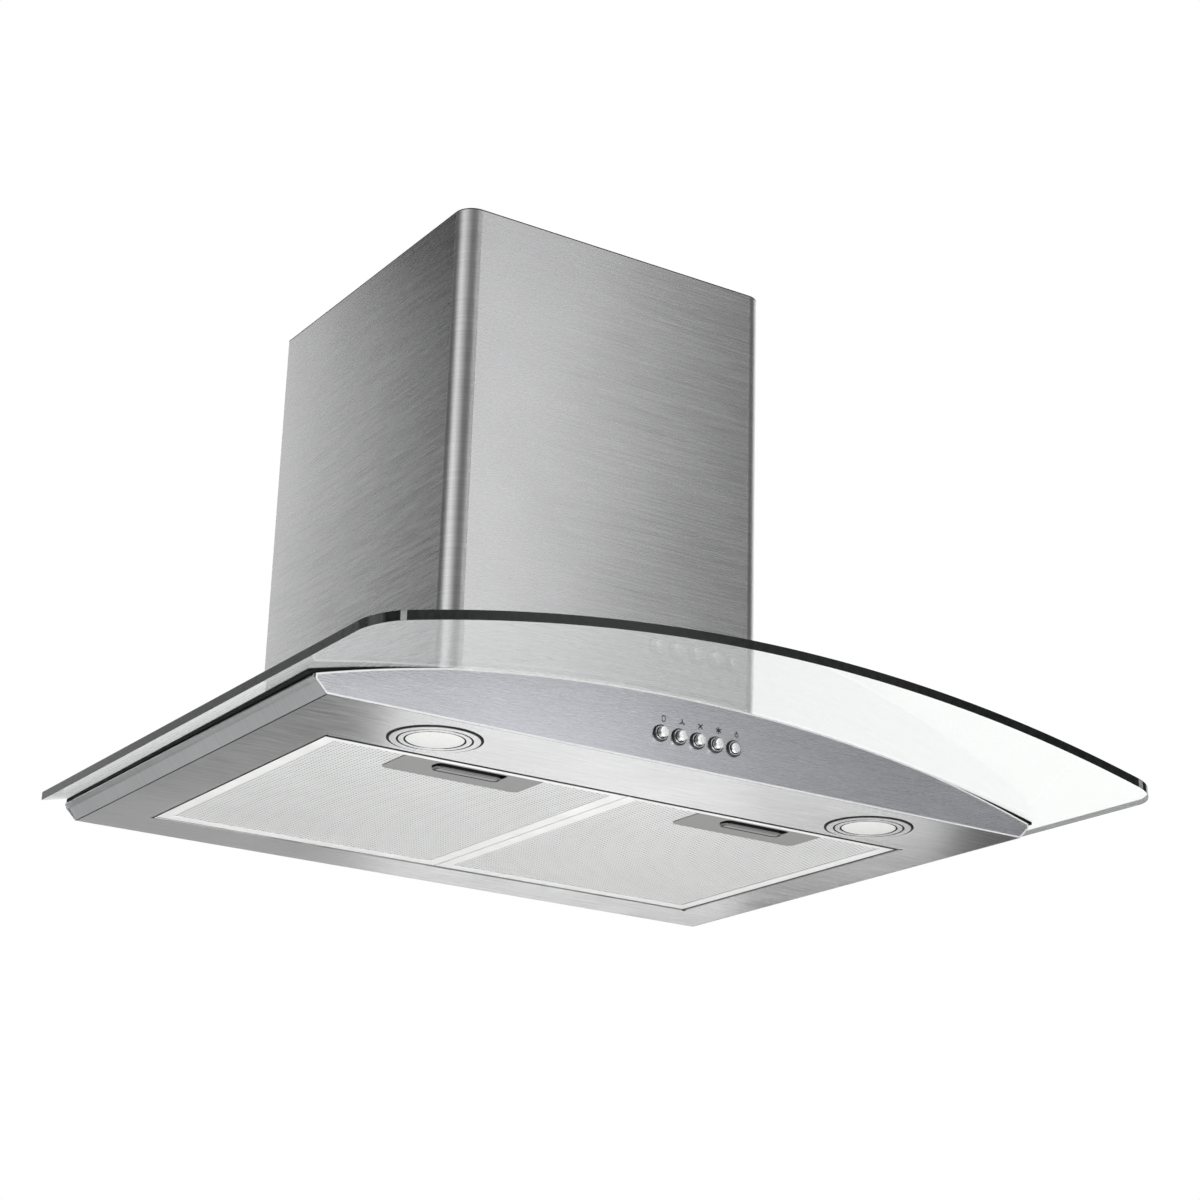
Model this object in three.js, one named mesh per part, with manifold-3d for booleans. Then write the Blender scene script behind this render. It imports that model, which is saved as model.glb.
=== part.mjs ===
// A 60 cm wall-mounted chimney hood with an arched glass canopy, in millimetres.
// X runs along the wall, +Y points to the wall (the wall plane is y = 0), +Z is up.
// Heights are worked out from the underside plane, z = 0 inside the assembly. The outer
// group is then lowered, so that the origin is the point midway between the two wall
// hooks, on the rear face of the blower housing.
import * as THREE from 'three';
import { mergeVertices } from 'three/addons/utils/BufferGeometryUtils.js';
import Module from 'manifold-3d';

// ---- general ----
const SHEET = 0.8;                  // stainless sheet of the body and the chimney
const GAP = 0.3;                    // between parts that seat on one another
const ARC_FACET = 25;               // width of the facets across an arch
const CORNER_STEPS = 8;             // facets of a rounded corner
const THROUGH = 100;                // cutting tools reach this far past what they cut

// ---- glass canopy ----
const GLASS_WIDTH = 600;
const GLASS_DEPTH = 505;
const GLASS_THICKNESS = 6;
const GLASS_SAG = 37;               // drop from the middle of the arch to its side edges
const GLASS_CORNER_RADIUS = 20;

// ---- body below the glass ----
const GLASS_SIDE_OVERHANG = 27;
const GLASS_FRONT_OVERHANG = 109;
const BODY_WIDTH = GLASS_WIDTH - 2 * GLASS_SIDE_OVERHANG;
const BODY_DEPTH = GLASS_DEPTH - GLASS_FRONT_OVERHANG;
const BODY_CENTRE_HEIGHT = 46.5;    // fascia height at the middle of the arch
const SIDE_FLARE = 8;               // each side wall leans out by this much
const LIP = 1.2;                    // folded hem along the top of each side wall
const SEAL_CENTRE = 1;              // space for the seal under the glass, at the middle
const SEAL_SIDE = 3.6;              // the same at the side walls
const SEAL_WIDTH = 12;

// ---- filter opening and its upturned rim ----
const OPENING_SIDE_MARGIN = 41;
const OPENING_FRONT_MARGIN = 80;
const OPENING_WIDTH = BODY_WIDTH - 2 * OPENING_SIDE_MARGIN;
const OPENING_FRONT = BODY_DEPTH - OPENING_FRONT_MARGIN;   // distances from the wall
const OPENING_REAR = 46;
const RIM_HEIGHT = 8;

// ---- filter cassettes ----
const FILTER_CLEARANCE = 0.6;       // round each cassette in the opening
const FILTER_SPLIT = 1;             // between the two cassettes
const FILTER_RECESS = 0.8;          // above the underside plane
const FILTER_THICKNESS = 8;
const FRAME_STRIP = 10;
const FRAME_SHEET = 0.8;
const TONGUE = { width: 20, reach: 6, thickness: 1, offset: 60 };
const PLATE = { width: 105, depth: 36, thickness: 0.7 };
const SLOT = { width: 54, depth: 13, fromFront: 2 };
const LATCH = { width: 50, stem: 3.5, lip: 9, lipThickness: 1.2, boltWidth: 20, boltThickness: 1.5 };
const LATCH_FINGER_GAP = 6;
const LATCH_BOLT_HEIGHT = 3;        // bolt underside above the underside plane

// ---- lamps ----
const LAMP_SIDE_MARGIN = 99.4;
const LAMP_FRONT_MARGIN = 44;
const LAMP_X = BODY_WIDTH / 2 - LAMP_SIDE_MARGIN;
const LAMP_FROM_WALL = BODY_DEPTH - LAMP_FRONT_MARGIN;
const LAMP_RADIUS = 30;
const LAMP_HOLE_RADIUS = 27;
const LAMP_GROOVE_RADIUS = 24;
const LENS_RADIUS = 19.5;
const LAMP_BARREL = 10;             // height of the barrel above the underside

// ---- push buttons ----
const SWITCH_X = -3.5;
const BUTTON_PITCH = 14.5;
const BUTTON_HEIGHT = 20;
const BUTTON_RADIUS = 3.5;
const BUTTON_PROUD = 5.5;           // front of a released button beyond the fascia
const BUTTON_TRAVEL = 3;
const LATCHED_PROUD = 3;            // the lamp button is shown pressed in
const RING_RADIUS = 5;
const RING_PROUD = 1.4;
const SWITCH = { depth: 30, height: 24, end: 11, wall: 5, ringRoot: 2 };

// ---- chimney covers ----
const CHIMNEY_WIDTH = 264;
const CHIMNEY_DEPTH = 282;
const CHIMNEY_TOP = 421;
const CHIMNEY_RADIUS = 14;
const COVER_RETURN = 10;            // rear flanges along the wall
const COVER_CLEARANCE = 0.8;        // between the two telescopic covers
const UPPER_COVER_BOTTOM = 128;
const UPPER_COVER_INSET = 4;        // its top below the lower cover's top

// ---- blower housing, inside the covers ----
const BOX_SHEET = 1.2;
const BOX_SIDE_CLEARANCE = 13;
const BOX_FRONT_CLEARANCE = 14;
const BOX_WIDTH = CHIMNEY_WIDTH - 2 * BOX_SIDE_CLEARANCE;
const BOX_DEPTH = CHIMNEY_DEPTH - BOX_FRONT_CLEARANCE;
const BOX_TOP = 262;
const HOOK_HEIGHT = 200;            // wall hooks above the underside, at the origin
const HOOK_SPACING = 150;
const HOOK_RADIUS = 5;
const HOOK_SLOT_RADIUS = 2.6;
const TAB = { height: 75, depth: 50, lip: 14 };

// ---- throat through glass, deck and seal ----
const THROAT_SIDE_MARGIN = 29;      // from the sides of the blower housing
const THROAT_END_MARGIN = 49;       // from its front and back
const THROAT_WIDTH = BOX_WIDTH - 2 * THROAT_SIDE_MARGIN;
const THROAT_DEPTH = BOX_DEPTH - 2 * THROAT_END_MARGIN;
const THROAT_FROM_WALL = BOX_DEPTH / 2;
const THROAT_SEAL = 2;              // space for the seal between glass and blower housing

// ---- canopy bolts ----
const BOLT_SIDE_MARGIN = 14;        // from the sides of the blower housing
const BOLT_END_MARGIN = 25;         // from its front and back
const BOLT_X = BOX_WIDTH / 2 - BOLT_SIDE_MARGIN;
const BOLT_FROM_WALL = [BOLT_END_MARGIN, BOX_DEPTH - BOLT_END_MARGIN];
const BOLT_TIP = 3;                 // bolt end below its nut
const BOLT_RADIUS = 3;
const BOLT_HEAD_RADIUS = 5.8;
const BOLT_HEAD = 4;
const GLASS_HOLE_RADIUS = 6;

// ---- fan ----
const FAN_FRONT_MARGIN = 93;        // from the front of the blower housing to the axis
const FAN_FROM_WALL = BOX_DEPTH - FAN_FRONT_MARGIN;
const FAN_HEIGHT = 156;
const IMPELLER_RADIUS = 68;
const IMPELLER_WIDTH = 96;
const BLADE_DEPTH = 12;
const BLADES = 24;
const SCROLL_SHEET = 1.5;
const SCROLL_WIDTH = 110;           // inside
const SCROLL_START = 73;            // spiral radius at the tongue
const SCROLL_END = 100;             // spiral radius where the outlet neck begins
const TONGUE_ANGLE = 80;            // degrees up from the rear
const NECK_NEAR = 10;               // outlet neck, measured behind the fan's axis
const INLET_RADIUS = 54;
const BELLMOUTH = { depth: 5, throat: 2.5 };   // lip turned in at each inlet
const SHAFT_RADIUS = 4;
const MOTOR_RADIUS = 39;
const MOTOR_LENGTH = 50;
const MOTOR_FROM_DISC = 12;

// ---- electrics ----
const TERMINAL = { width: 80, depth: 50, height: 30, frontInset: 4, sideInset: 10 };
const DRIVER = { width: 60, depth: 45, height: 20, clearance: 11.6 };

// ---- outlet collar and its flaps ----
const COLLAR_RADIUS = 75;
const COLLAR_WALL = 1.5;
const COLLAR_HEIGHT = 66;
const COLLAR_FLANGE = 170;
const COLLAR_CLEARANCE = 9;         // between its flange and the terminal box
const COLLAR_FROM_WALL = BOX_DEPTH - TERMINAL.frontInset - TERMINAL.depth
  - COLLAR_CLEARANCE - COLLAR_FLANGE / 2;
const FLAP_LEDGE = 13;              // flap seat above the flange
const FLAP_THICKNESS = 1.2;
const PIN_RADIUS = 1.5;
const KNUCKLE_RADIUS = 3;
const KNUCKLE_HALF = 20;            // half length of the middle knuckle

// ---- finishes ----
const finish = (color, roughness, metalness) => (
  new THREE.MeshStandardMaterial({ color, roughness, metalness }));
const brushedSteel = () => finish(0xb9bbbe, 0.38, 0.95);
const galvanised = () => finish(0x9da2a6, 0.5, 0.8);
const aluminium = () => finish(0xd5d6d8, 0.45, 0.85);
const chrome = () => finish(0xe4e6e8, 0.12, 1);
const greyPlastic = () => finish(0x979797, 0.55, 0);
const blackPlastic = () => finish(0x17181a, 0.5, 0);
const blackRubber = () => finish(0x101112, 0.8, 0);
const frosted = () => finish(0xf2f3f0, 0.6, 0);
const clearGlass = () => {
  const glass = finish(0xe9f2ef, 0.05, 0);
  glass.transparent = true;
  glass.opacity = 0.3;
  return glass;
};

// ---- solids: closed meshes that can be joined and cut ----
const wasm = await Module();
wasm.setup();

function solid(geometry) {
  const bare = geometry.clone();
  bare.deleteAttribute('normal');
  bare.deleteAttribute('uv');
  const merged = mergeVertices(bare, 1e-4);
  return new wasm.Manifold(new wasm.Mesh({
    numProp: 3,
    vertProperties: new Float32Array(merged.attributes.position.array),
    triVerts: new Uint32Array(merged.index.array),
  }));
}

function toGeometry(manifold) {
  const mesh = manifold.getMesh();
  const geometry = new THREE.BufferGeometry();
  geometry.setAttribute('position', new THREE.BufferAttribute(mesh.vertProperties, 3));
  geometry.setIndex(new THREE.BufferAttribute(mesh.triVerts, 1));
  const faceted = geometry.toNonIndexed();
  faceted.computeVertexNormals();
  return faceted;
}

const join = (...parts) => parts.reduce((sum, part) => sum.add(part));
const cut = (body, ...tools) => tools.reduce((left, tool) => left.subtract(tool), body);

// A profile drawn in (x, z) and extruded along Y, from y0 to y1.
function extrudeY(shape, y0, y1) {
  const geometry = new THREE.ExtrudeGeometry(shape, {
    depth: y1 - y0, bevelEnabled: false });
  geometry.rotateX(Math.PI / 2);
  return solid(geometry.translate(0, y1, 0));
}

// A profile drawn in (x, y) and extruded along Z.
function extrudeZ(shape, z0, z1, curveSegments = CORNER_STEPS) {
  const geometry = new THREE.ExtrudeGeometry(shape, {
    depth: z1 - z0, bevelEnabled: false, curveSegments });
  return solid(geometry.translate(0, 0, z0));
}

// A profile drawn in (y, z) and extruded along X.
function extrudeX(shape, x0, x1) {
  const geometry = new THREE.ExtrudeGeometry(shape, {
    depth: x1 - x0, bevelEnabled: false });
  const axes = new THREE.Matrix4().makeBasis(
    new THREE.Vector3(0, 1, 0), new THREE.Vector3(0, 0, 1), new THREE.Vector3(1, 0, 0));
  geometry.applyMatrix4(axes);
  return solid(geometry.translate(x0, 0, 0));
}

function box(x0, x1, y0, y1, z0, z1) {
  const geometry = new THREE.BoxGeometry(x1 - x0, y1 - y0, z1 - z0);
  return solid(geometry.translate((x0 + x1) / 2, (y0 + y1) / 2, (z0 + z1) / 2));
}

// A cylinder along 'x', 'y' or 'z', centred at (x, y, z).
function rod(axis, radius, length, x, y, z, sides = 16) {
  const geometry = new THREE.CylinderGeometry(radius, radius, length, sides);
  if (axis === 'x') geometry.rotateZ(Math.PI / 2);
  if (axis === 'z') geometry.rotateX(Math.PI / 2);
  return solid(geometry.translate(x, y, z));
}

// A turned part: [radius, height] points that start and end on the axis or close.
function turned(points, axis = 'z', sides = 24) {
  const profile = points.map(([radius, height]) => new THREE.Vector2(radius, height));
  const geometry = new THREE.LatheGeometry(profile, sides);
  if (axis === 'z') geometry.rotateX(Math.PI / 2);
  if (axis === 'x') geometry.rotateZ(-Math.PI / 2);
  return solid(geometry);
}

const rectangle = (x0, x1, y0, y1) => new THREE.Shape([
  new THREE.Vector2(x0, y0), new THREE.Vector2(x1, y0),
  new THREE.Vector2(x1, y1), new THREE.Vector2(x0, y1)]);

// ---- arches: circles about the middle plane x = 0, as height over x ----
function arch(centreHeight, halfWidth, drop) {
  const radius = (halfWidth ** 2 + drop ** 2) / (2 * drop);
  const height = (x) => centreHeight - radius + Math.sqrt(radius ** 2 - x ** 2);
  return { height, raised: (by) => (x) => (
    centreHeight - radius + Math.sqrt((radius + by) ** 2 - x ** 2)) };
}

const glassBottomZ = BODY_CENTRE_HEIGHT + SEAL_CENTRE;
const glassArch = arch(glassBottomZ, GLASS_WIDTH / 2, GLASS_SAG);
const glassUnder = glassArch.height;
const glassTop = glassArch.raised(GLASS_THICKNESS);
const bodyTopHalf = BODY_WIDTH / 2 + SIDE_FLARE;
const sideHeight = glassUnder(bodyTopHalf) - SEAL_SIDE;
const bodyArch = arch(BODY_CENTRE_HEIGHT, bodyTopHalf, BODY_CENTRE_HEIGHT - sideHeight);
const bodyTop = bodyArch.height;

// Points along a curve z(x) from x0 to x1, as an outline's arched edge.
function along(curve, x0, x1) {
  const steps = 2 * Math.ceil(Math.abs(x1 - x0) / (2 * ARC_FACET));
  return Array.from({ length: steps + 1 }, (_, i) => {
    const x = x0 + (x1 - x0) * i / steps;
    return new THREE.Vector2(x, curve(x));
  });
}

// The band between two arched curves, as a profile in (x, z).
const band = (lower, upper, half) => (
  new THREE.Shape([...along(lower, -half, half), ...along(upper, half, -half)]));

// All that lies below a curve, for trimming a part to the arch.
const below = (curve, half, y0, y1) => extrudeY(new THREE.Shape([
  new THREE.Vector2(-half, -THROUGH), new THREE.Vector2(half, -THROUGH),
  ...along(curve, half, -half)]), y0, y1);

// ---- assembly ----
const hood = new THREE.Group();
const assembly = new THREE.Group();
assembly.position.z = -HOOK_HEIGHT;
hood.add(assembly);

function place(name, manifold, material) {
  const mesh = new THREE.Mesh(toGeometry(manifold), material);
  mesh.name = name;
  assembly.add(mesh);
}

// The throat and the bolt holes that pass through glass, deck, seal and housing.
const throatY = [-THROAT_FROM_WALL - THROAT_DEPTH / 2, -THROAT_FROM_WALL + THROAT_DEPTH / 2];
const throat = box(-THROAT_WIDTH / 2, THROAT_WIDTH / 2, ...throatY, 0, THROUGH);
const boltPlaces = [-BOLT_X, BOLT_X].flatMap((x) => (
  BOLT_FROM_WALL.map((fromWall) => [x, -fromWall])));
const boltHoles = (radius) => (
  boltPlaces.map(([x, y]) => rod('z', radius, 2 * THROUGH, x, y, 0, 12)));

// ---- glass ----
function glassCanopy() {
  const half = GLASS_WIDTH / 2;
  const r = GLASS_CORNER_RADIUS;
  const slab = extrudeY(band(glassUnder, glassTop, half), -GLASS_DEPTH, 0);
  const plan = new THREE.Shape();
  plan.moveTo(-half, 0);
  plan.lineTo(-half, -GLASS_DEPTH + r);
  plan.absarc(-half + r, -GLASS_DEPTH + r, r, Math.PI, 1.5 * Math.PI);
  plan.lineTo(half - r, -GLASS_DEPTH);
  plan.absarc(half - r, -GLASS_DEPTH + r, r, 1.5 * Math.PI, 2 * Math.PI);
  plan.lineTo(half, 0);
  const rounded = slab.intersect(extrudeZ(plan, -THROUGH, THROUGH));
  return cut(rounded, throat, ...boltHoles(GLASS_HOLE_RADIUS));
}

// ---- body ----
function endPanelShape() {
  return new THREE.Shape([
    new THREE.Vector2(-BODY_WIDTH / 2, 0), new THREE.Vector2(BODY_WIDTH / 2, 0),
    ...along(bodyTop, bodyTopHalf, -bodyTopHalf)]);
}

const buttonX = (index) => SWITCH_X + (index - 2) * BUTTON_PITCH;
const BUTTONS = ['button_stop', 'button_low', 'button_medium', 'button_high', 'button_lamp'];
const fasciaFront = -BODY_DEPTH;
const fasciaBack = -BODY_DEPTH + SHEET;

function fascia() {
  const sheet = extrudeY(endPanelShape(), fasciaFront, fasciaBack);
  const holes = BUTTONS.map((_, i) => (
    rod('y', RING_RADIUS + GAP, 10, buttonX(i), fasciaFront, BUTTON_HEIGHT)));
  return cut(sheet, ...holes);
}

const backPanel = () => extrudeY(endPanelShape(), -SHEET, 0);

// A leaning wall with a folded hem along its top edge; side is -1 or 1.
function sidePanel(side) {
  const foot = BODY_WIDTH / 2;
  const lean = SIDE_FLARE / sideHeight;
  const hem = sideHeight - 2 * LIP;
  const outline = [
    [foot, 0], [foot + lean * hem, hem], [bodyTopHalf + LIP, hem],
    [bodyTopHalf + LIP, sideHeight], [bodyTopHalf - SHEET, sideHeight], [foot - SHEET, 0],
  ].map(([x, z]) => new THREE.Vector2(side * x, z));
  return extrudeY(new THREE.Shape(outline), fasciaBack + GAP, -SHEET - GAP);
}

const undersideHalf = BODY_WIDTH / 2 - SHEET - GAP;
const innerFront = fasciaBack + GAP;
const innerBack = -SHEET - GAP;

function undersidePanel() {
  const half = OPENING_WIDTH / 2;
  const opening = box(-half, half, -OPENING_FRONT, -OPENING_REAR, -1, RIM_HEIGHT + 1);
  const plate = box(-undersideHalf, undersideHalf, innerFront, innerBack, 0, SHEET);
  const rim = box(-half - SHEET, half + SHEET, -OPENING_FRONT - SHEET, -OPENING_REAR + SHEET,
    0, RIM_HEIGHT);
  const lampHoles = [-LAMP_X, LAMP_X].map((x) => (
    rod('z', LAMP_HOLE_RADIUS, 10, x, -LAMP_FROM_WALL, 0, 40)));
  return cut(join(plate, rim), opening, ...lampHoles);
}

function topDeck() {
  const half = bodyTopHalf - 2 * SHEET - GAP;
  const sheet = extrudeY(band(bodyArch.raised(-SHEET), bodyTop, half), innerFront, innerBack);
  return cut(sheet, throat, ...boltHoles(BOLT_RADIUS + GAP));
}

// One U-shaped strip between the body and the glass, thicker towards the sides.
function glassSeal() {
  const lower = (x) => bodyTop(x) + GAP;
  const upper = (x) => glassUnder(x) - GAP;
  const strip = extrudeY(band(lower, upper, bodyTopHalf), -BODY_DEPTH, 0);
  const inside = bodyTopHalf - SEAL_WIDTH;
  return cut(strip, box(-inside, inside, -BODY_DEPTH + SEAL_WIDTH, 1, 0, THROUGH));
}

// ---- canopy bolts and their sleeves in the glass ----
const flangeUnder = glassArch.raised(GLASS_THICKNESS + THROAT_SEAL);
const flangeTop = glassArch.raised(GLASS_THICKNESS + THROAT_SEAL + BOX_SHEET);

function canopyBolt(x, y) {
  const headZ = flangeTop(Math.abs(x) - BOLT_HEAD_RADIUS) + GAP;
  const nutZ = bodyArch.raised(-SHEET)(Math.abs(x) + BOLT_HEAD_RADIUS) - GAP;
  const shankTop = headZ + BOLT_HEAD / 2;
  const shankBottom = nutZ - BOLT_HEAD - BOLT_TIP;
  const shank = rod('z', BOLT_RADIUS, shankTop - shankBottom, x, y,
    (shankTop + shankBottom) / 2, 12);
  const head = rod('z', BOLT_HEAD_RADIUS, BOLT_HEAD, x, y, headZ + BOLT_HEAD / 2, 6);
  const nut = rod('z', BOLT_HEAD_RADIUS, BOLT_HEAD, x, y, nutZ - BOLT_HEAD / 2, 6);
  return join(shank, head, nut);
}

function glassSleeve(x, y) {
  const outer = GLASS_HOLE_RADIUS - GAP;
  const middle = (glassUnder(x) + glassTop(x)) / 2;
  const slope = glassTop(Math.abs(x) - outer) - glassTop(Math.abs(x) + outer);
  const length = GLASS_THICKNESS - slope;
  return cut(rod('z', outer, length, x, y, middle),
    rod('z', BOLT_RADIUS + GAP, length + 2, x, y, middle, 12));
}

function throatSeal() {
  const lower = glassArch.raised(GLASS_THICKNESS + GAP);
  const upper = glassArch.raised(GLASS_THICKNESS + THROAT_SEAL - GAP);
  const strip = extrudeY(band(lower, upper, BOX_WIDTH / 2), -BOX_DEPTH, 0);
  return cut(strip, throat, ...boltHoles(BOLT_RADIUS + GAP));
}

// ---- filter cassettes, side is -1 or 1 ----
const filterOuter = OPENING_WIDTH / 2 - FILTER_CLEARANCE;
const filterInner = FILTER_SPLIT / 2;
const filterFront = -OPENING_FRONT + FILTER_CLEARANCE;
const filterBack = -OPENING_REAR - FILTER_CLEARANCE;
const filterBottom = FILTER_RECESS;
const filterTop = FILTER_RECESS + FILTER_THICKNESS;
const filterX = (filterOuter + filterInner) / 2;
const plateFront = filterFront + FRAME_STRIP + GAP;
const slotFront = plateFront + SLOT.fromFront;
const stemFront = slotFront + LATCH_FINGER_GAP;
const meshBottom = filterBottom + FRAME_SHEET + GAP;
const meshTop = filterTop - FRAME_SHEET - GAP;

// The cassette's footprint inset by a margin, from z0 to z1.
function filterBlock(side, inset, z0, z1) {
  const x0 = filterInner + inset;
  const x1 = filterOuter - inset;
  return box(Math.min(side * x0, side * x1), Math.max(side * x0, side * x1),
    filterFront + inset, filterBack - inset, z0, z1);
}

// The channel for the latch bolt, from the finger pocket out through the front edge.
function boltChannel(side) {
  const half = LATCH.boltWidth / 2 + GAP;
  const x = side * filterX;
  return box(x - half, x + half, filterFront - 5, stemFront,
    LATCH_BOLT_HEIGHT - GAP, LATCH_BOLT_HEIGHT + LATCH.boltThickness + GAP);
}

// Channel-section frame with two rear tongues that rest over the rim of the opening.
function filterFrame(side) {
  const ring = cut(filterBlock(side, 0, filterBottom, filterTop),
    filterBlock(side, FRAME_STRIP, filterBottom - 1, filterTop + 1),
    filterBlock(side, FRAME_SHEET, filterBottom + FRAME_SHEET, filterTop - FRAME_SHEET));
  const tongueZ = RIM_HEIGHT + GAP;
  const tongues = [-TONGUE.offset, TONGUE.offset].map((dx) => {
    const x = side * filterX + dx;
    return box(x - TONGUE.width / 2, x + TONGUE.width / 2, filterBack - FRAME_STRIP / 2,
      filterBack + TONGUE.reach, tongueZ, tongueZ + TONGUE.thickness);
  });
  return cut(join(ring, ...tongues), boltChannel(side));
}

function filterMesh(side) {
  const x = side * filterX;
  const half = SLOT.width / 2 + 1;
  const pocket = box(x - half, x + half, slotFront - 1, slotFront + SLOT.depth + 1,
    meshBottom - 1, meshTop - FRAME_SHEET);
  return cut(filterBlock(side, FRAME_SHEET + GAP, meshBottom, meshTop),
    pocket, boltChannel(side));
}

function handlePlate(side) {
  const x = side * filterX;
  const r = 5;
  const half = PLATE.width / 2;
  const back = plateFront + PLATE.depth;
  const outline = new THREE.Shape();
  outline.moveTo(x - half, plateFront);
  outline.lineTo(x + half, plateFront);
  outline.lineTo(x + half, back - r);
  outline.absarc(x + half - r, back - r, r, 0, Math.PI / 2);
  outline.lineTo(x - half + r, back);
  outline.absarc(x - half + r, back - r, r, Math.PI / 2, Math.PI);
  const top = meshBottom - GAP;
  const plate = extrudeZ(outline, top - PLATE.thickness, top);
  return cut(plate, box(x - SLOT.width / 2, x + SLOT.width / 2, slotFront,
    slotFront + SLOT.depth, 0, meshTop));
}

// Finger lip under the plate, stem up through the slot, bolt forward to the rim.
function filterLatch(side) {
  const x = side * filterX;
  const half = LATCH.width / 2;
  const plateUnder = meshBottom - GAP - PLATE.thickness;
  const lipTop = plateUnder - GAP;
  const boltTop = LATCH_BOLT_HEIGHT + LATCH.boltThickness;
  const lip = extrudeZ(rectangle(x - half, x + half, stemFront, stemFront + LATCH.lip),
    lipTop - LATCH.lipThickness, lipTop);
  const stem = box(x - half, x + half, stemFront, stemFront + LATCH.stem,
    lipTop - LATCH.lipThickness, boltTop);
  const bolt = box(x - LATCH.boltWidth / 2, x + LATCH.boltWidth / 2,
    -OPENING_FRONT + GAP, stemFront + LATCH.stem, LATCH_BOLT_HEIGHT, boltTop);
  return join(lip, stem, bolt);
}

// ---- lamps, turned about their own axis ----
function lampBezel(x) {
  const inner = LENS_RADIUS + GAP;
  const barrel = LAMP_HOLE_RADIUS - 2 * GAP;
  const face = -GAP - 1;
  return turned([
    [inner, face], [LAMP_GROOVE_RADIUS - 0.3, face], [LAMP_GROOVE_RADIUS - 0.3, face + 0.6],
    [LAMP_GROOVE_RADIUS + 0.3, face + 0.6], [LAMP_GROOVE_RADIUS + 0.3, face],
    [LAMP_RADIUS - 0.5, face], [LAMP_RADIUS, face + 0.5], [LAMP_RADIUS, -GAP],
    [barrel, -GAP], [barrel, LAMP_BARREL], [barrel - 1.2, LAMP_BARREL],
    [barrel - 1.2, 0.5], [inner, 0.5], [inner, face],
  ]).translate([x, -LAMP_FROM_WALL, 0]);
}

function lampLens(x) {
  const face = -GAP - 1;
  return turned([
    [0, face - 0.8], [LENS_RADIUS * 0.6, face - 0.5], [LENS_RADIUS, face + 0.2],
    [LENS_RADIUS, 0.8], [0, 0.8],
  ]).translate([x, -LAMP_FROM_WALL, 0]);
}

// Sealed lamp unit that closes the barrel, with a heat-sink rim resting on it.
function lampUnit(x) {
  const inside = LAMP_HOLE_RADIUS - 2 * GAP - 1.2 - GAP;
  const rim = LAMP_BARREL + GAP;
  return turned([
    [0, 0.8 + GAP], [inside, 0.8 + GAP], [inside, rim], [LAMP_HOLE_RADIUS, rim],
    [LAMP_HOLE_RADIUS, rim + 3], [inside - 4, rim + 3], [inside - 4, rim + 7], [0, rim + 7],
  ], 'z', 16).translate([x, -LAMP_FROM_WALL, 0]);
}

function lampDriver() {
  const z = SHEET + GAP;
  const x = -LAMP_X + LAMP_HOLE_RADIUS + DRIVER.clearance;
  const y = -LAMP_FROM_WALL;
  return box(x, x + DRIVER.width, y - DRIVER.depth / 2, y + DRIVER.depth / 2,
    z, z + DRIVER.height);
}

// ---- push buttons ----
const switchFront = fasciaBack + GAP;
const stemBack = fasciaFront - BUTTON_PROUD + SWITCH.depth - SWITCH.wall;

function switchBody() {
  const half = 2 * BUTTON_PITCH + SWITCH.end;
  const body = box(SWITCH_X - half, SWITCH_X + half, switchFront, switchFront + SWITCH.depth,
    BUTTON_HEIGHT - SWITCH.height / 2, BUTTON_HEIGHT + SWITCH.height / 2);
  const rings = BUTTONS.map((_, i) => {
    const length = RING_PROUD + SHEET + GAP + SWITCH.ringRoot;
    return rod('y', RING_RADIUS, length, buttonX(i), fasciaFront - RING_PROUD + length / 2,
      BUTTON_HEIGHT);
  });
  const boreBack = stemBack + BUTTON_TRAVEL + GAP;
  const boreFront = fasciaFront - 2 * RING_PROUD;
  const bores = BUTTONS.map((_, i) => (
    rod('y', BUTTON_RADIUS + GAP, boreBack - boreFront, buttonX(i),
      (boreBack + boreFront) / 2, BUTTON_HEIGHT)));
  return cut(join(body, ...rings), ...bores);
}

// A turned cap with a domed front; it points to -Y, its front at y = front.
function button(x, front) {
  const r = BUTTON_RADIUS;
  const length = stemBack - (fasciaFront - BUTTON_PROUD);
  return turned([
    [0, 0], [r * 0.5, 0.2], [r * 0.85, 0.8], [r, 1.8], [r, length], [0, length],
  ], 'y', 16).translate([x, front, BUTTON_HEIGHT]);
}

// ---- chimney covers: folded U sections, open to the wall ----
function coverShape(inset) {
  const path = (offset, radius) => {
    const half = CHIMNEY_WIDTH / 2 - inset - offset;
    const front = -CHIMNEY_DEPTH + inset + offset;
    const back = -inset - offset;
    return { half, front, back, radius: radius - offset };
  };
  const outer = path(0, CHIMNEY_RADIUS - inset);
  const inner = path(SHEET, CHIMNEY_RADIUS - inset);
  const tip = outer.half - COVER_RETURN;
  const shape = new THREE.Shape();
  shape.moveTo(-tip, outer.back);
  shape.lineTo(-outer.half, outer.back);
  shape.lineTo(-outer.half, outer.front + outer.radius);
  shape.absarc(-outer.half + outer.radius, outer.front + outer.radius, outer.radius,
    Math.PI, 1.5 * Math.PI);
  shape.lineTo(outer.half - outer.radius, outer.front);
  shape.absarc(outer.half - outer.radius, outer.front + outer.radius, outer.radius,
    1.5 * Math.PI, 2 * Math.PI);
  shape.lineTo(outer.half, outer.back);
  shape.lineTo(tip, outer.back);
  shape.lineTo(tip, inner.back);
  shape.lineTo(inner.half, inner.back);
  shape.lineTo(inner.half, inner.front + inner.radius);
  shape.absarc(inner.half - inner.radius, inner.front + inner.radius, inner.radius,
    0, -0.5 * Math.PI, true);
  shape.lineTo(-inner.half + inner.radius, inner.front);
  shape.absarc(-inner.half + inner.radius, inner.front + inner.radius, inner.radius,
    1.5 * Math.PI, Math.PI, true);
  shape.lineTo(-inner.half, inner.back);
  shape.lineTo(-tip, inner.back);
  return shape;
}

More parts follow.
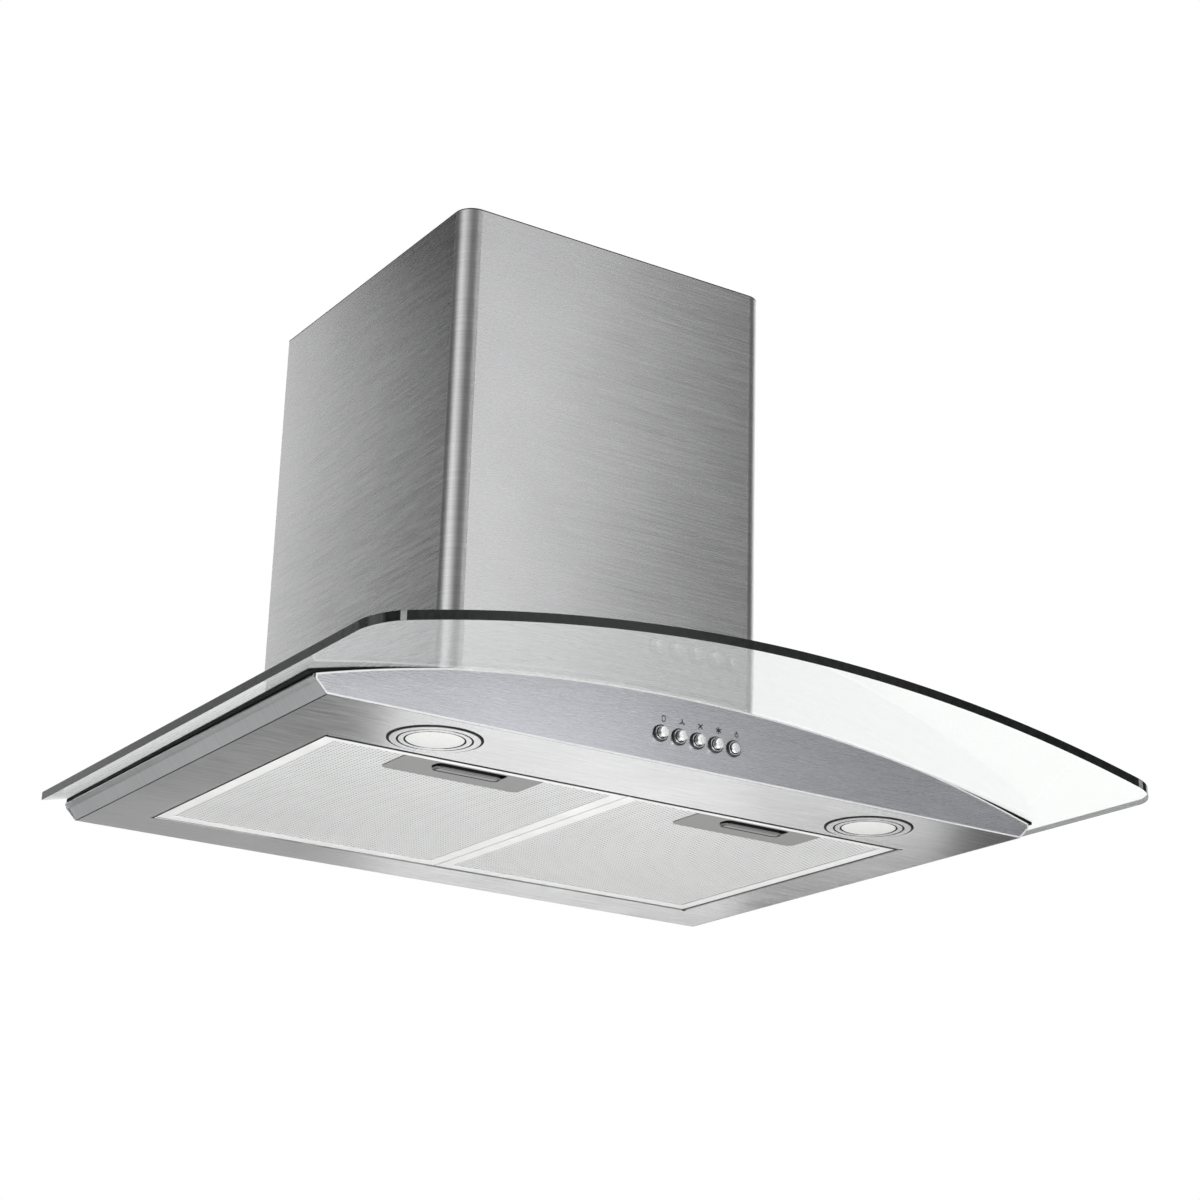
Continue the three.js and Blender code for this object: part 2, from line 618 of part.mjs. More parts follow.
function chimneyCover() {
  const sheet = extrudeZ(coverShape(0), 0, CHIMNEY_TOP);
  return cut(sheet, below(glassArch.raised(GLASS_THICKNESS + GAP),
    CHIMNEY_WIDTH / 2 + 5, -CHIMNEY_DEPTH - 5, 5));
}

const upperCover = () => (
  extrudeZ(coverShape(SHEET + COVER_CLEARANCE), UPPER_COVER_BOTTOM,
    CHIMNEY_TOP - UPPER_COVER_INSET));

// ---- blower housing: a sheet box whose inward flange follows the glass ----
const neckY = [-FAN_FROM_WALL + NECK_NEAR, -FAN_FROM_WALL + SCROLL_END];

function blowerHousing() {
  const half = BOX_WIDTH / 2;
  const t = BOX_SHEET;
  const outside = box(-half, half, -BOX_DEPTH, 0, 0, BOX_TOP);
  const inside = box(-half + t, half - t, -BOX_DEPTH + t, -t, -1, BOX_TOP - t);
  const walls = cut(outside, inside);
  const flange = extrudeY(band(flangeUnder, flangeTop, half), -BOX_DEPTH, 0);
  const tabs = [-1, 1].map((side) => coverTab(side));
  const neckHalf = SCROLL_WIDTH / 2;
  const neckHole = box(-neckHalf, neckHalf, neckY[0], neckY[1], BOX_TOP - 10, BOX_TOP + 10);
  const trimmed = cut(walls, below(flangeUnder, half + 5, -BOX_DEPTH - 5, 5));
  return cut(join(trimmed, flange, ...tabs), throat, neckHole,
    ...boltHoles(BOLT_RADIUS + GAP), ...hookSlots());
}

// Angle tab that reaches from the housing to the inner face of the lower cover.
function coverTab(side) {
  const start = BOX_WIDTH / 2 - BOX_SHEET;
  const end = CHIMNEY_WIDTH / 2 - SHEET - GAP;
  const y = -BOX_DEPTH / 2;
  const spanX = (x0, x1) => (side > 0 ? [x0, x1] : [-x1, -x0]);
  const shelf = box(...spanX(start, end), y - TAB.depth / 2, y + TAB.depth / 2,
    TAB.height, TAB.height + BOX_SHEET);
  const lip = box(...spanX(end - BOX_SHEET, end), y - TAB.depth / 2, y + TAB.depth / 2,
    TAB.height, TAB.height + TAB.lip);
  return join(shelf, lip);
}

// Keyholes in the rear wall, for the two wall hooks.
function hookSlots() {
  return [-HOOK_SPACING / 2, HOOK_SPACING / 2].flatMap((x) => [
    rod('y', HOOK_RADIUS, 10, x, 0, HOOK_HEIGHT),
    rod('y', HOOK_SLOT_RADIUS, 10, x, 0, HOOK_HEIGHT + 2.4 * HOOK_RADIUS, 16),
    box(x - HOOK_SLOT_RADIUS, x + HOOK_SLOT_RADIUS, -5, 5,
      HOOK_HEIGHT, HOOK_HEIGHT + 2.4 * HOOK_RADIUS)]);
}

// ---- fan: spiral casing, impeller and motor on one axis along X ----
function spiral(extra, neckTop) {
  const start = THREE.MathUtils.degToRad(TONGUE_ANGLE);
  const turn = 2 * Math.PI - start;
  const steps = 24;
  const shape = new THREE.Shape();
  for (let i = 0; i <= steps; i += 1) {
    const angle = start + turn * i / steps;
    const radius = SCROLL_START + (SCROLL_END - SCROLL_START) * i / steps + extra;
    const y = -FAN_FROM_WALL + radius * Math.cos(angle);
    const z = FAN_HEIGHT + radius * Math.sin(angle);
    if (i === 0) shape.moveTo(neckY[0] - extra, neckTop);
    shape.lineTo(i === 0 ? neckY[0] - extra : y, z);
  }
  shape.lineTo(neckY[1] + extra, neckTop);
  return shape;
}

function scrollCasing() {
  const neckTop = BOX_TOP - BOX_SHEET - GAP;
  const half = SCROLL_WIDTH / 2;
  const outside = extrudeX(spiral(SCROLL_SHEET, neckTop), -half - SCROLL_SHEET,
    half + SCROLL_SHEET);
  const inside = extrudeX(spiral(0, neckTop + 10), -half, half);
  const inlets = rod('x', INLET_RADIUS, SCROLL_WIDTH + 20, 0, -FAN_FROM_WALL, FAN_HEIGHT, 24);
  return join(cut(outside, inside, inlets), bellmouth(-1), bellmouth(1));
}

// The flared lip of an inlet, which leads the air into the eye of the impeller.
function bellmouth(side) {
  const wall = SCROLL_WIDTH / 2;
  const root = wall + SCROLL_SHEET / 2;
  const narrow = INLET_RADIUS - BELLMOUTH.throat;
  const lip = turned([
    [narrow, wall - BELLMOUTH.depth], [narrow + SCROLL_SHEET, wall - BELLMOUTH.depth],
    [INLET_RADIUS + SCROLL_SHEET, wall + GAP], [INLET_RADIUS + SCROLL_SHEET, root],
    [INLET_RADIUS - GAP, root], [narrow, wall], [narrow, wall - BELLMOUTH.depth],
  ], 'x');
  const placed = side > 0 ? lip : lip.mirror([1, 0, 0]);
  return placed.translate([0, -FAN_FROM_WALL, FAN_HEIGHT]);
}

// Forward-curved blades between two rings, on a disc with its hub and shaft.
function impeller() {
  const inner = IMPELLER_RADIUS - BLADE_DEPTH;
  const half = IMPELLER_WIDTH / 2;
  const blade = new THREE.Shape();
  const thickness = 0.9;
  blade.moveTo(inner, -thickness / 2);
  blade.quadraticCurveTo(inner + BLADE_DEPTH * 0.7, 0.5, IMPELLER_RADIUS - 0.8, 5);
  blade.lineTo(IMPELLER_RADIUS - 1.4, 5 + thickness);
  blade.quadraticCurveTo(inner + BLADE_DEPTH * 0.6, 1.5, inner, thickness / 2);
  const geometry = new THREE.ExtrudeGeometry(blade, {
    depth: IMPELLER_WIDTH - 1, bevelEnabled: false, curveSegments: 2 });
  const axes = new THREE.Matrix4().makeBasis(
    new THREE.Vector3(0, 1, 0), new THREE.Vector3(0, 0, 1), new THREE.Vector3(1, 0, 0));
  geometry.applyMatrix4(axes).translate(0.5 - half, 0, 0);
  const blades = Array.from({ length: BLADES }, (_, i) => (
    solid(geometry.clone().rotateX(2 * Math.PI * i / BLADES))));
  const ring = (x) => cut(rod('x', IMPELLER_RADIUS, 2, x, 0, 0, BLADES),
    rod('x', IMPELLER_RADIUS - 6, 4, x, 0, 0, BLADES));
  const disc = rod('x', inner + 3, 2, 0, 0, 0, BLADES);
  const hub = rod('x', 12, 16, 0, 0, 0);
  const shaftEnd = -MOTOR_FROM_DISC - MOTOR_LENGTH + 6;
  const shaft = rod('x', SHAFT_RADIUS, 12 - shaftEnd, (12 + shaftEnd) / 2, 0, 0, 16);
  return join(disc, ring(-half + 1), ring(half - 1), hub, shaft, ...blades)
    .translate([0, -FAN_FROM_WALL, FAN_HEIGHT]);
}

const motorOuter = -MOTOR_FROM_DISC - MOTOR_LENGTH;

function motor() {
  const front = -MOTOR_FROM_DISC;
  const bore = SHAFT_RADIUS + GAP;
  const boreEnd = motorOuter + 4;
  return turned([
    [0, motorOuter], [MOTOR_RADIUS - 9, motorOuter], [MOTOR_RADIUS - 6, motorOuter + 3],
    [MOTOR_RADIUS - 3, motorOuter + 8], [MOTOR_RADIUS, motorOuter + 9],
    [MOTOR_RADIUS, front - 9], [MOTOR_RADIUS - 3, front - 8], [14, front - 3],
    [14, front], [bore, front], [bore, boreEnd], [0, boreEnd],
  ], 'x').translate([0, -FAN_FROM_WALL, FAN_HEIGHT]);
}

// Three-armed bracket that carries the motor from the casing's side plate.
function motorMount() {
  const x1 = motorOuter - GAP;
  const x0 = x1 - 1.5;
  const plate = rod('x', MOTOR_RADIUS - 9, x1 - x0, (x0 + x1) / 2, 0, 0, 24);
  const casing = -SCROLL_WIDTH / 2 - SCROLL_SHEET - GAP;
  const armEnd = INLET_RADIUS + 9;
  const arm = (angle) => {
    const bar = new THREE.BoxGeometry(x1 - x0, armEnd, 12);
    bar.translate((x0 + x1) / 2, armEnd / 2, 0).rotateX(angle);
    const foot = new THREE.BoxGeometry(casing - x0, 6, 12);
    foot.translate((x0 + casing) / 2, armEnd - 3, 0).rotateX(angle);
    return join(solid(bar), solid(foot));
  };
  return join(plate, ...[0, 1, 2].map((i) => arm(Math.PI / 2 + 2 * Math.PI * i / 3)))
    .translate([0, -FAN_FROM_WALL, FAN_HEIGHT]);
}

// ---- outlet collar with two non-return flaps on one pin ----
const collarZ = BOX_TOP + GAP;
const flangeZ = collarZ + BOX_SHEET;
const pinZ = flangeZ + FLAP_LEDGE + 1.5 + GAP + FLAP_THICKNESS / 2;
const boreRadius = COLLAR_RADIUS - COLLAR_WALL;

function outletCollar() {
  const h = COLLAR_FLANGE / 2;
  const flange = box(-h, h, -COLLAR_FROM_WALL - h, -COLLAR_FROM_WALL + h, collarZ, flangeZ);
  const ledge = flangeZ + FLAP_LEDGE;
  const bead = flangeZ + COLLAR_HEIGHT - 12;
  const tube = turned([
    [boreRadius, collarZ], [COLLAR_RADIUS, collarZ], [COLLAR_RADIUS, bead],
    [COLLAR_RADIUS + 1, bead + 1.5], [COLLAR_RADIUS, bead + 3],
    [COLLAR_RADIUS, flangeZ + COLLAR_HEIGHT], [boreRadius, flangeZ + COLLAR_HEIGHT],
    [boreRadius, ledge + 1.5], [boreRadius - 4, ledge + 1.5], [boreRadius - 4, ledge],
    [boreRadius, ledge], [boreRadius, collarZ],
  ], 'z', 30).translate([0, -COLLAR_FROM_WALL, 0]);
  const hole = rod('z', boreRadius, 10, 0, -COLLAR_FROM_WALL, flangeZ - 5, 30);
  const pinHole = rod('x', PIN_RADIUS + GAP, 2 * COLLAR_RADIUS + 20, 0, -COLLAR_FROM_WALL,
    pinZ, 12);
  return cut(join(cut(flange, hole), tube), pinHole);
}

const flapPin = () => rod('x', PIN_RADIUS, 2 * COLLAR_RADIUS + 4, 0, -COLLAR_FROM_WALL, pinZ, 12);

// A half disc with knuckles on the pin; side -1 is the front flap, 1 the rear one.
function flap(side) {
  const edge = KNUCKLE_RADIUS + 2 * GAP;
  const radius = boreRadius - 2 * GAP;
  const end = Math.sqrt(radius ** 2 - edge ** 2);
  const start = Math.atan2(edge, end);
  const half = new THREE.Shape();
  half.absarc(0, 0, radius, start, Math.PI - start);
  const plate = extrudeZ(half, -FLAP_THICKNESS / 2, FLAP_THICKNESS / 2, 16);
  const reach = boreRadius - 8;
  const spans = side > 0
    ? [[-KNUCKLE_HALF + GAP, KNUCKLE_HALF - GAP]]
    : [[-reach, -KNUCKLE_HALF], [KNUCKLE_HALF, reach]];
  const knuckles = spans.flatMap(([x0, x1]) => [
    rod('x', KNUCKLE_RADIUS, x1 - x0, (x0 + x1) / 2, 0, 0, 12),
    box(x0, x1, 0, edge + 2, -FLAP_THICKNESS / 2, FLAP_THICKNESS / 2)]);
  const bore = rod('x', PIN_RADIUS + GAP, 2 * COLLAR_RADIUS, 0, 0, 0, 12);
  return cut(join(plate, ...knuckles), bore)
    .rotate([0, 0, side > 0 ? 0 : 180])
    .translate([0, -COLLAR_FROM_WALL, pinZ]);
}

// ---- mains terminal box on top of the housing, with its empty gland ----
const terminalX = -BOX_WIDTH / 2 + TERMINAL.sideInset;
const terminalY = -BOX_DEPTH + TERMINAL.frontInset;

const terminalBox = () => box(terminalX, terminalX + TERMINAL.width, terminalY,
  terminalY + TERMINAL.depth, BOX_TOP + GAP, BOX_TOP + GAP + TERMINAL.height);

function cableGland() {
  const x = terminalX + TERMINAL.width + GAP;
  return turned([
    [3.5, 0], [8, 0], [8, 5], [6.5, 5], [6.5, 12], [5, 14], [3.5, 14], [3.5, 0],
  ], 'x', 16).translate([x, terminalY + TERMINAL.depth / 2, BOX_TOP + GAP + TERMINAL.height / 2]);
}

// ---- the assembly, from the outside in ----
place('chimney_cover', chimneyCover(), brushedSteel());
place('upper_chimney_cover', upperCover(), brushedSteel());
place('glass_canopy', glassCanopy(), clearGlass());
place('glass_seal', glassSeal(), blackRubber());
place('fascia_panel', fascia(), brushedSteel());
place('back_panel', backPanel(), brushedSteel());
place('underside_panel', undersidePanel(), brushedSteel());
place('top_deck', topDeck(), galvanised());

for (const [name, side] of [['left', -1], ['right', 1]]) {
  place(`side_panel_${name}`, sidePanel(side), brushedSteel());
  place(`filter_frame_${name}`, filterFrame(side), aluminium());
  place(`filter_mesh_${name}`, filterMesh(side), aluminium());
  place(`filter_plate_${name}`, handlePlate(side), greyPlastic());
  place(`filter_latch_${name}`, filterLatch(side), greyPlastic());
  place(`lamp_bezel_${name}`, lampBezel(side * LAMP_X), brushedSteel());
  place(`lamp_lens_${name}`, lampLens(side * LAMP_X), frosted());
  place(`lamp_unit_${name}`, lampUnit(side * LAMP_X), blackPlastic());
}
place('lamp_driver', lampDriver(), blackPlastic());

place('switch_body', switchBody(), blackPlastic());
BUTTONS.forEach((name, i) => {
  const proud = name === 'button_lamp' ? LATCHED_PROUD : BUTTON_PROUD;
  place(name, button(buttonX(i), fasciaFront - proud), chrome());
});

place('throat_seal', throatSeal(), blackRubber());
boltPlaces.forEach(([x, y], i) => {
  place(`canopy_bolt_${i + 1}`, canopyBolt(x, y), galvanised());
  place(`glass_sleeve_${i + 1}`, glassSleeve(x, y), blackRubber());
});

place('blower_housing', blowerHousing(), galvanised());
place('scroll_casing', scrollCasing(), blackPlastic());
place('impeller', impeller(), blackPlastic());
place('motor', motor(), galvanised());
place('motor_mount', motorMount(), galvanised());
place('outlet_collar', outletCollar(), blackPlastic());
place('flap_pin', flapPin(), galvanised());
place('flap_front', flap(-1), blackPlastic());
place('flap_rear', flap(1), blackPlastic());
place('terminal_box', terminalBox(), blackPlastic());
place('cable_gland', cableGland(), blackPlastic());

export default hood;
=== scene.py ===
"""A wall-mounted chimney hood with an arched glass canopy: fine pieces and finishes.

Lengths are in millimetres, with heights above the underside of the body, until a
piece is placed; the row frame is in metres, with its origin on the wall.
"""
import math
import bpy
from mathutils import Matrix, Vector


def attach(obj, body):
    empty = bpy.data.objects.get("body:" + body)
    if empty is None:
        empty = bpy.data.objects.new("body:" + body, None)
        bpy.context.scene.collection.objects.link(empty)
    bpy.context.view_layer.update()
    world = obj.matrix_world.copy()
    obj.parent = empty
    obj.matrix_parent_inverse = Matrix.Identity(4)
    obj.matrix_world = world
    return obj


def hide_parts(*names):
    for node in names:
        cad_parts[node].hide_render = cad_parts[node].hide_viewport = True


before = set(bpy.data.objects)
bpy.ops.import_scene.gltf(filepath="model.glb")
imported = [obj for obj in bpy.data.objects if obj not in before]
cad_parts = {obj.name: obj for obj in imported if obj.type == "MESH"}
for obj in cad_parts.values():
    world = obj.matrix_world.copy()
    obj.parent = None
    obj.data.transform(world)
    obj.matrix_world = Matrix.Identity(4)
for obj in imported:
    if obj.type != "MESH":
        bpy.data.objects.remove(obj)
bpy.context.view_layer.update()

MM = 0.001
UNDERSIDE = -200.0                  # height of the underside in the row frame
BASE = Vector((0, 0, UNDERSIDE))
SHEET = 0.8
GAP = 0.3

# ---- the arches ----
GLASS_HALF, GLASS_DEPTH, GLASS_THICK, GLASS_SAG = 300.0, 505.0, 6.0, 37.0
GLASS_CREST = 47.5                  # underside of the glass at the middle
GLASS_CORNER = 20.0
BODY_HALF, BODY_DEPTH, BODY_CREST, FLARE = 273.0, 396.0, 46.5, 8.0
BODY_TOP_HALF = BODY_HALF + FLARE
FASCIA_RISE, FASCIA_GAP, FASCIA_RIM = 3.4, 0.15, 1.15
SEAL_SIDE, SEAL_WIDTH, SEAL_BULGE = 3.6, 12.0, 4.5
THROAT_HALF, THROAT_FRONT, THROAT_REAR = 90.0, -219.0, -49.0
BOLT_X, BOLT_FRONT, BOLT_REAR, BOLT_HOLE = 105.0, -243.0, -25.0, 6.0


def arch_radius(half, sag):
    return (half ** 2 + sag ** 2) / (2 * sag)


GLASS_RADIUS = arch_radius(GLASS_HALF, GLASS_SAG)
SIDE_HEIGHT = (GLASS_CREST - GLASS_RADIUS
               + math.sqrt(GLASS_RADIUS ** 2 - BODY_TOP_HALF ** 2) - SEAL_SIDE)
BODY_RADIUS = arch_radius(BODY_TOP_HALF, BODY_CREST - SIDE_HEIGHT)

# ---- chimney, filter opening, cassettes, handles, lamps and buttons ----
COVER_HALF, COVER_DEPTH, COVER_TOP = 132.0, 282.0, 421.0
COVER_CORNER, COVER_RETURN, COVER_EDGE = 14.0, 10.0, 0.9
OPENING_HALF, OPENING_FRONT, OPENING_REAR, RIM = 232.0, -316.0, -46.0, 8.0
CASSETTE_IN, CASSETTE_OUT = 0.5, 231.4
CASSETTE_FRONT, CASSETTE_REAR = -315.4, -46.6
CASSETTE_LOW, CASSETTE_HIGH = 0.8, 8.8
CASSETTE_X = (CASSETTE_IN + CASSETTE_OUT) / 2
STRIP = 10.0
PLATE_FRONT, PLATE_WIDTH, PLATE_DEPTH, PLATE_TOP, PLATE_THICK = -305.1, 105.0, 36.0, 1.6, 0.7
SLOT_FRONT, SLOT_WIDTH, SLOT_DEPTH = -303.1, 54.0, 13.0
LATCH_FRONT, LATCH_WIDTH, LATCH_REACH = -297.1, 50.0, 9.0
LAMP_X, LAMP_Y, LAMP_FACE = 173.6, -352.0, -0.8
LAMP_RADIUS, LAMP_HOLE, LAMP_GROOVE, LENS_RADIUS = 30.0, 27.0, 24.0, 19.5
BUTTON_X, PITCH, BUTTON_Z, BUTTON_RADIUS, RING_RADIUS = -3.5, 14.5, 20.0, 3.5, 5.0
BUTTON_PROUD, LAMP_BUTTON_PROUD = 5.5, 3.0      # the lamp button is latched in
SIGN_SHIFT, SIGN_RISE, SIGN_LINE = 2.3, 10.2, 0.8
TRAY_HOLE, SHEET_HOLE_PITCH, SHEET_HOLE_EDGE = 1.6, 3.6, 0.95


# ======================= modelling =======================

def only(obj):
    bpy.ops.object.select_all(action="DESELECT")
    obj.select_set(True)
    bpy.context.view_layer.objects.active = obj


def settle(obj, name):
    """Names a new primitive and puts its place and size into its mesh."""
    only(obj)
    bpy.ops.object.transform_apply(location=True, rotation=True, scale=True)
    obj.name = obj.data.name = name
    return obj


def row(x, y, z):
    """Millimetres above the underside, as a point of the row frame."""
    return (Vector((x, y, z)) + BASE) * MM


def block(name, x, y, z):
    """A cuboid from three (low, high) pairs."""
    centre = [(a + b) / 2 for a, b in (x, y, z)]
    bpy.ops.mesh.primitive_cube_add(size=1, location=row(*centre),
                                    scale=[abs(b - a) * MM for a, b in (x, y, z)])
    return settle(bpy.context.object, name)


TURN = {"x": (0, math.pi / 2, 0), "y": (math.pi / 2, 0, 0), "z": (0, 0, 0)}


def rod(name, axis, radius, length, centre, sides=64):
    bpy.ops.mesh.primitive_cylinder_add(vertices=sides, radius=radius * MM, depth=length * MM,
                                        location=row(*centre), rotation=TURN[axis])
    return settle(bpy.context.object, name)


def arch(radius, crest, y):
    """A long cylinder whose top is one of the arches, as a tool to cut with."""
    centre = (0, (y[0] + y[1]) / 2, crest - radius)
    return rod("arch_tool", "y", radius, abs(y[1] - y[0]), centre, sides=1152)


def modify(obj, kind, **settings):
    only(obj)
    modifier = obj.modifiers.new(kind.lower(), kind)
    for key, value in settings.items():
        setattr(modifier, key, value)
    bpy.ops.object.modifier_apply(modifier=modifier.name)
    return obj


def combine(obj, tool, how="DIFFERENCE"):
    modify(obj, "BOOLEAN", operation=how, solver="MANIFOLD", object=tool)
    bpy.data.objects.remove(tool)
    return obj


def smooth(obj, angle=35):
    only(obj)
    bpy.ops.object.shade_smooth_by_angle(angle=math.radians(angle))
    return obj


def soften(obj, width, segments=2, angle=35):
    """Rounds every edge sharper than the angle."""
    modify(obj, "BEVEL", width=width * MM, segments=segments, limit_method="ANGLE",
           angle_limit=math.radians(angle), use_clamp_overlap=True)
    return smooth(obj)


def pick(obj, kind, test):
    """Opens obj for editing with only the edges or faces that pass the test selected.
    A face is tested by its centre and normal, an edge by its two ends, all in mm."""
    only(obj)
    bpy.ops.object.mode_set(mode="EDIT")
    bpy.ops.mesh.select_mode(type=kind)
    bpy.ops.mesh.select_all(action="DESELECT")
    bpy.ops.object.mode_set(mode="OBJECT")
    mesh = obj.data
    ends = [v.co / MM - BASE for v in mesh.vertices]
    if kind == "FACE":
        for face in mesh.polygons:
            face.select = bool(test(face.center / MM - BASE, face.normal))
    else:
        for edge in mesh.edges:
            edge.select = bool(test(*(ends[i] for i in edge.vertices)))
    bpy.ops.object.mode_set(mode="EDIT")


def done():
    bpy.ops.object.mode_set(mode="OBJECT")


def inset(width, depth=0.0):
    """Insets the selected faces by a width and a depth in mm; the inner part stays selected."""
    bpy.ops.mesh.inset(thickness=width * MM, depth=depth * MM)


def paint(obj, index):
    """Gives the selected faces one of the piece's finishes."""
    obj.active_material_index = index
    bpy.ops.object.material_slot_assign()


def with_finishes(obj, *materials):
    obj.data.materials.clear()
    for material in materials:
        obj.data.materials.append(material)
    return obj


def extrude_by(x, y, z):
    """Extrudes what is selected by a step in mm."""
    bpy.ops.mesh.extrude_region_move(
        TRANSFORM_OT_translate={"value": (x * MM, y * MM, z * MM)})


def turned(name, axis, profile, centre, steps=72):
    """A turned piece: a circle is extruded and resized along (radius, height) points.
    It is solid when the last point differs from the first, and a ring when they match."""
    ring = profile[0] == profile[-1]
    (radius, height), *rest = profile
    bpy.ops.mesh.primitive_circle_add(vertices=steps, radius=radius * MM,
                                      location=(0, 0, height * MM),
                                      fill_type="NOTHING" if ring else "NGON")
    obj = settle(bpy.context.object, name)
    bpy.ops.object.mode_set(mode="EDIT")
    bpy.ops.mesh.select_mode(type="VERT")
    bpy.ops.mesh.select_all(action="SELECT")
    for new_radius, new_height in rest:
        extrude_by(0, 0, new_height - height)
        share = new_radius / radius
        bpy.ops.transform.resize(value=(share, share, 1),
                                 center_override=(0, 0, new_height * MM))
        radius, height = new_radius, new_height
    bpy.ops.mesh.select_all(action="SELECT")
    bpy.ops.mesh.remove_doubles(threshold=1e-6)
    bpy.ops.mesh.normals_make_consistent(inside=False)
    done()
    obj.rotation_euler = TURN[axis]
    obj.location = row(*centre)
    return smooth(settle(obj, name), 30)


def copy_of(obj, name, shift=(0, 0, 0), mirror=False):
    """A copy with its own mesh, moved by a step in mm or mirrored about x = 0."""
    only(obj)
    bpy.ops.object.duplicate()
    twin = bpy.context.object
    twin.location = Vector(shift) * MM
    if mirror:
        twin.scale = (-1, 1, 1)
    settle(twin, name)
    if mirror:
        bpy.ops.object.mode_set(mode="EDIT")
        bpy.ops.mesh.select_all(action="SELECT")
        bpy.ops.mesh.flip_normals()
        done()
    return twin


def welded(*objs):
    """Joins loose pieces into one object."""
    only(objs[0])
    for obj in objs[1:]:
        obj.select_set(True)
    bpy.ops.object.join()
    return objs[0]


def lay_grain(obj, across):
    """Gives obj a UV map whose U runs across the brushing, for the steel's sheen."""
    layer = obj.data.uv_layers.new(name="grain")
    across = Vector(across)
    for face in obj.data.polygons:
        side = across.cross(face.normal)
        side = side.normalized() if side.length > 0.05 else across.orthogonal().normalized()
        up = face.normal.cross(side)
        for loop in face.loop_indices:
            point = obj.data.vertices[obj.data.loops[loop].vertex_index].co
            layer.data[loop].uv = (point.dot(up), point.dot(side))
    return obj


def finished(obj, material, body="hood", replaces=()):
    """The piece's finish, the body it rides on and the CAD nodes it stands for."""
    if material is not None:
        obj.data.materials.clear()
        obj.data.materials.append(material)
    if len(obj.data.polygons) < 50000:
        modify(obj, "WEIGHTED_NORMAL", keep_sharp=True)
    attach(obj, body)
    if replaces:
        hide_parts(*replaces)
    return obj


# ======================= finishes =======================

def colour(code):
    """An sRGB hex colour as linear light."""
    parts = [int(code[i:i + 2], 16) / 255 for i in (0, 2, 4)]
    return [p / 12.92 if p <= 0.04045 else ((p + 0.055) / 1.055) ** 2.4 for p in parts] + [1]


def add(tree, kind, values=None, links=None, **settings):
    """Adds a node with its settings, its sockets' values and its incoming links."""
    node = tree.nodes.new(kind)
    for key, value in settings.items():
        setattr(node, key, value)
    for key, value in (values or {}).items():
        node.inputs[key].default_value = value
    for key, output in (links or {}).items():
        tree.links.new(output, node.inputs[key])
    return node


def new_finish(name, **values):
    """A material with one shader; returns the material, its nodes and the shader."""
    material = bpy.data.materials.new(name)
    material.use_nodes = True
    tree = material.node_tree
    tree.nodes.clear()
    shader = add(tree, "ShaderNodeBsdfPrincipled", values)
    add(tree, "ShaderNodeOutputMaterial", links={"Surface": shader.outputs[0]})
    return material, tree, shader


def pattern(tree, lengths_mm, kind="ShaderNodeTexNoise", **values):
    """A texture whose cells are lengths_mm long along x, y and z of the object."""
    place = add(tree, "ShaderNodeTexCoord").outputs["Object"]
    scaled = add(tree, "ShaderNodeMapping", {"Scale": [1000 / n for n in lengths_mm]},
                 {"Vector": place})
    return add(tree, kind, {"Scale": 1.0, **values}, {"Vector": scaled.outputs[0]})


def blend_colours(tree, factor, low, high, start=0.3, end=0.7):
    ramp = add(tree, "ShaderNodeValToRGB", links={"Fac": factor})
    ramp.color_ramp.elements[0].position, ramp.color_ramp.elements[1].position = start, end
    ramp.color_ramp.elements[0].color = colour(low)
    ramp.color_ramp.elements[1].color = colour(high)
    return ramp.outputs[0]


def spread(tree, factor, low, high, start=0.3, end=0.7):
    return add(tree, "ShaderNodeMapRange", {"From Min": start, "From Max": end,
                                            "To Min": low, "To Max": high},
               {"Value": factor}).outputs[0]


def brushed_steel(name, grain_mm, tones=("adadae", "c6c6c7"), rough=(0.3, 0.4), stretch=0.6,
                  ramp=(0.42, 0.82), relief=0.3):
    """Stainless steel, belt-brushed with 180 grit: long fine lines, and a sheen that is
    drawn out across them. The lines are drawn 0.6 to 1.7 mm apart, coarser than the real
    0.1 mm, so that they show."""
    material, tree, shader = new_finish(name, Metallic=1.0, Anisotropic=stretch)
    lines = pattern(tree, grain_mm, Detail=3.0, Roughness=0.65).outputs["Fac"]
    clouds = pattern(tree, [90, 90, 90], Detail=2.0).outputs["Fac"]
    both = add(tree, "ShaderNodeMath", {1: 0.25}, {0: clouds}, operation="MULTIPLY_ADD")
    tree.links.new(lines, both.inputs[2])
    tone = blend_colours(tree, both.outputs[0], *tones, start=ramp[0], end=ramp[1])
    tree.links.new(tone, shader.inputs["Base Color"])
    tree.links.new(spread(tree, lines, *rough), shader.inputs["Roughness"])
    bump = add(tree, "ShaderNodeBump", {"Strength": relief, "Distance": 0.00003},
               {"Height": lines})
    tree.links.new(bump.outputs[0], shader.inputs["Normal"])
    tangent = add(tree, "ShaderNodeTangent", direction_type="UV_MAP", uv_map="grain")
    tree.links.new(tangent.outputs[0], shader.inputs["Tangent"])
    return material


def plain_metal(name, tones, rough, cells_mm, bump_mm=0.02, metallic=1.0, gloss=0.5):
    """Rolled or cast metal with a soft cloudy tone and a little texture. Metallic is low
    where the real surface is so matt and pale that it looks white."""
    material, tree, shader = new_finish(name, **{"Metallic": metallic,
                                                 "Specular IOR Level": gloss})
    noise = pattern(tree, cells_mm, Detail=4.0).outputs["Fac"]
    tree.links.new(blend_colours(tree, noise, *tones), shader.inputs["Base Color"])
    tree.links.new(spread(tree, noise, *rough), shader.inputs["Roughness"])
    bump = add(tree, "ShaderNodeBump", {"Strength": 0.4, "Distance": bump_mm * MM},
               {"Height": noise})
    tree.links.new(bump.outputs[0], shader.inputs["Normal"])
    return material


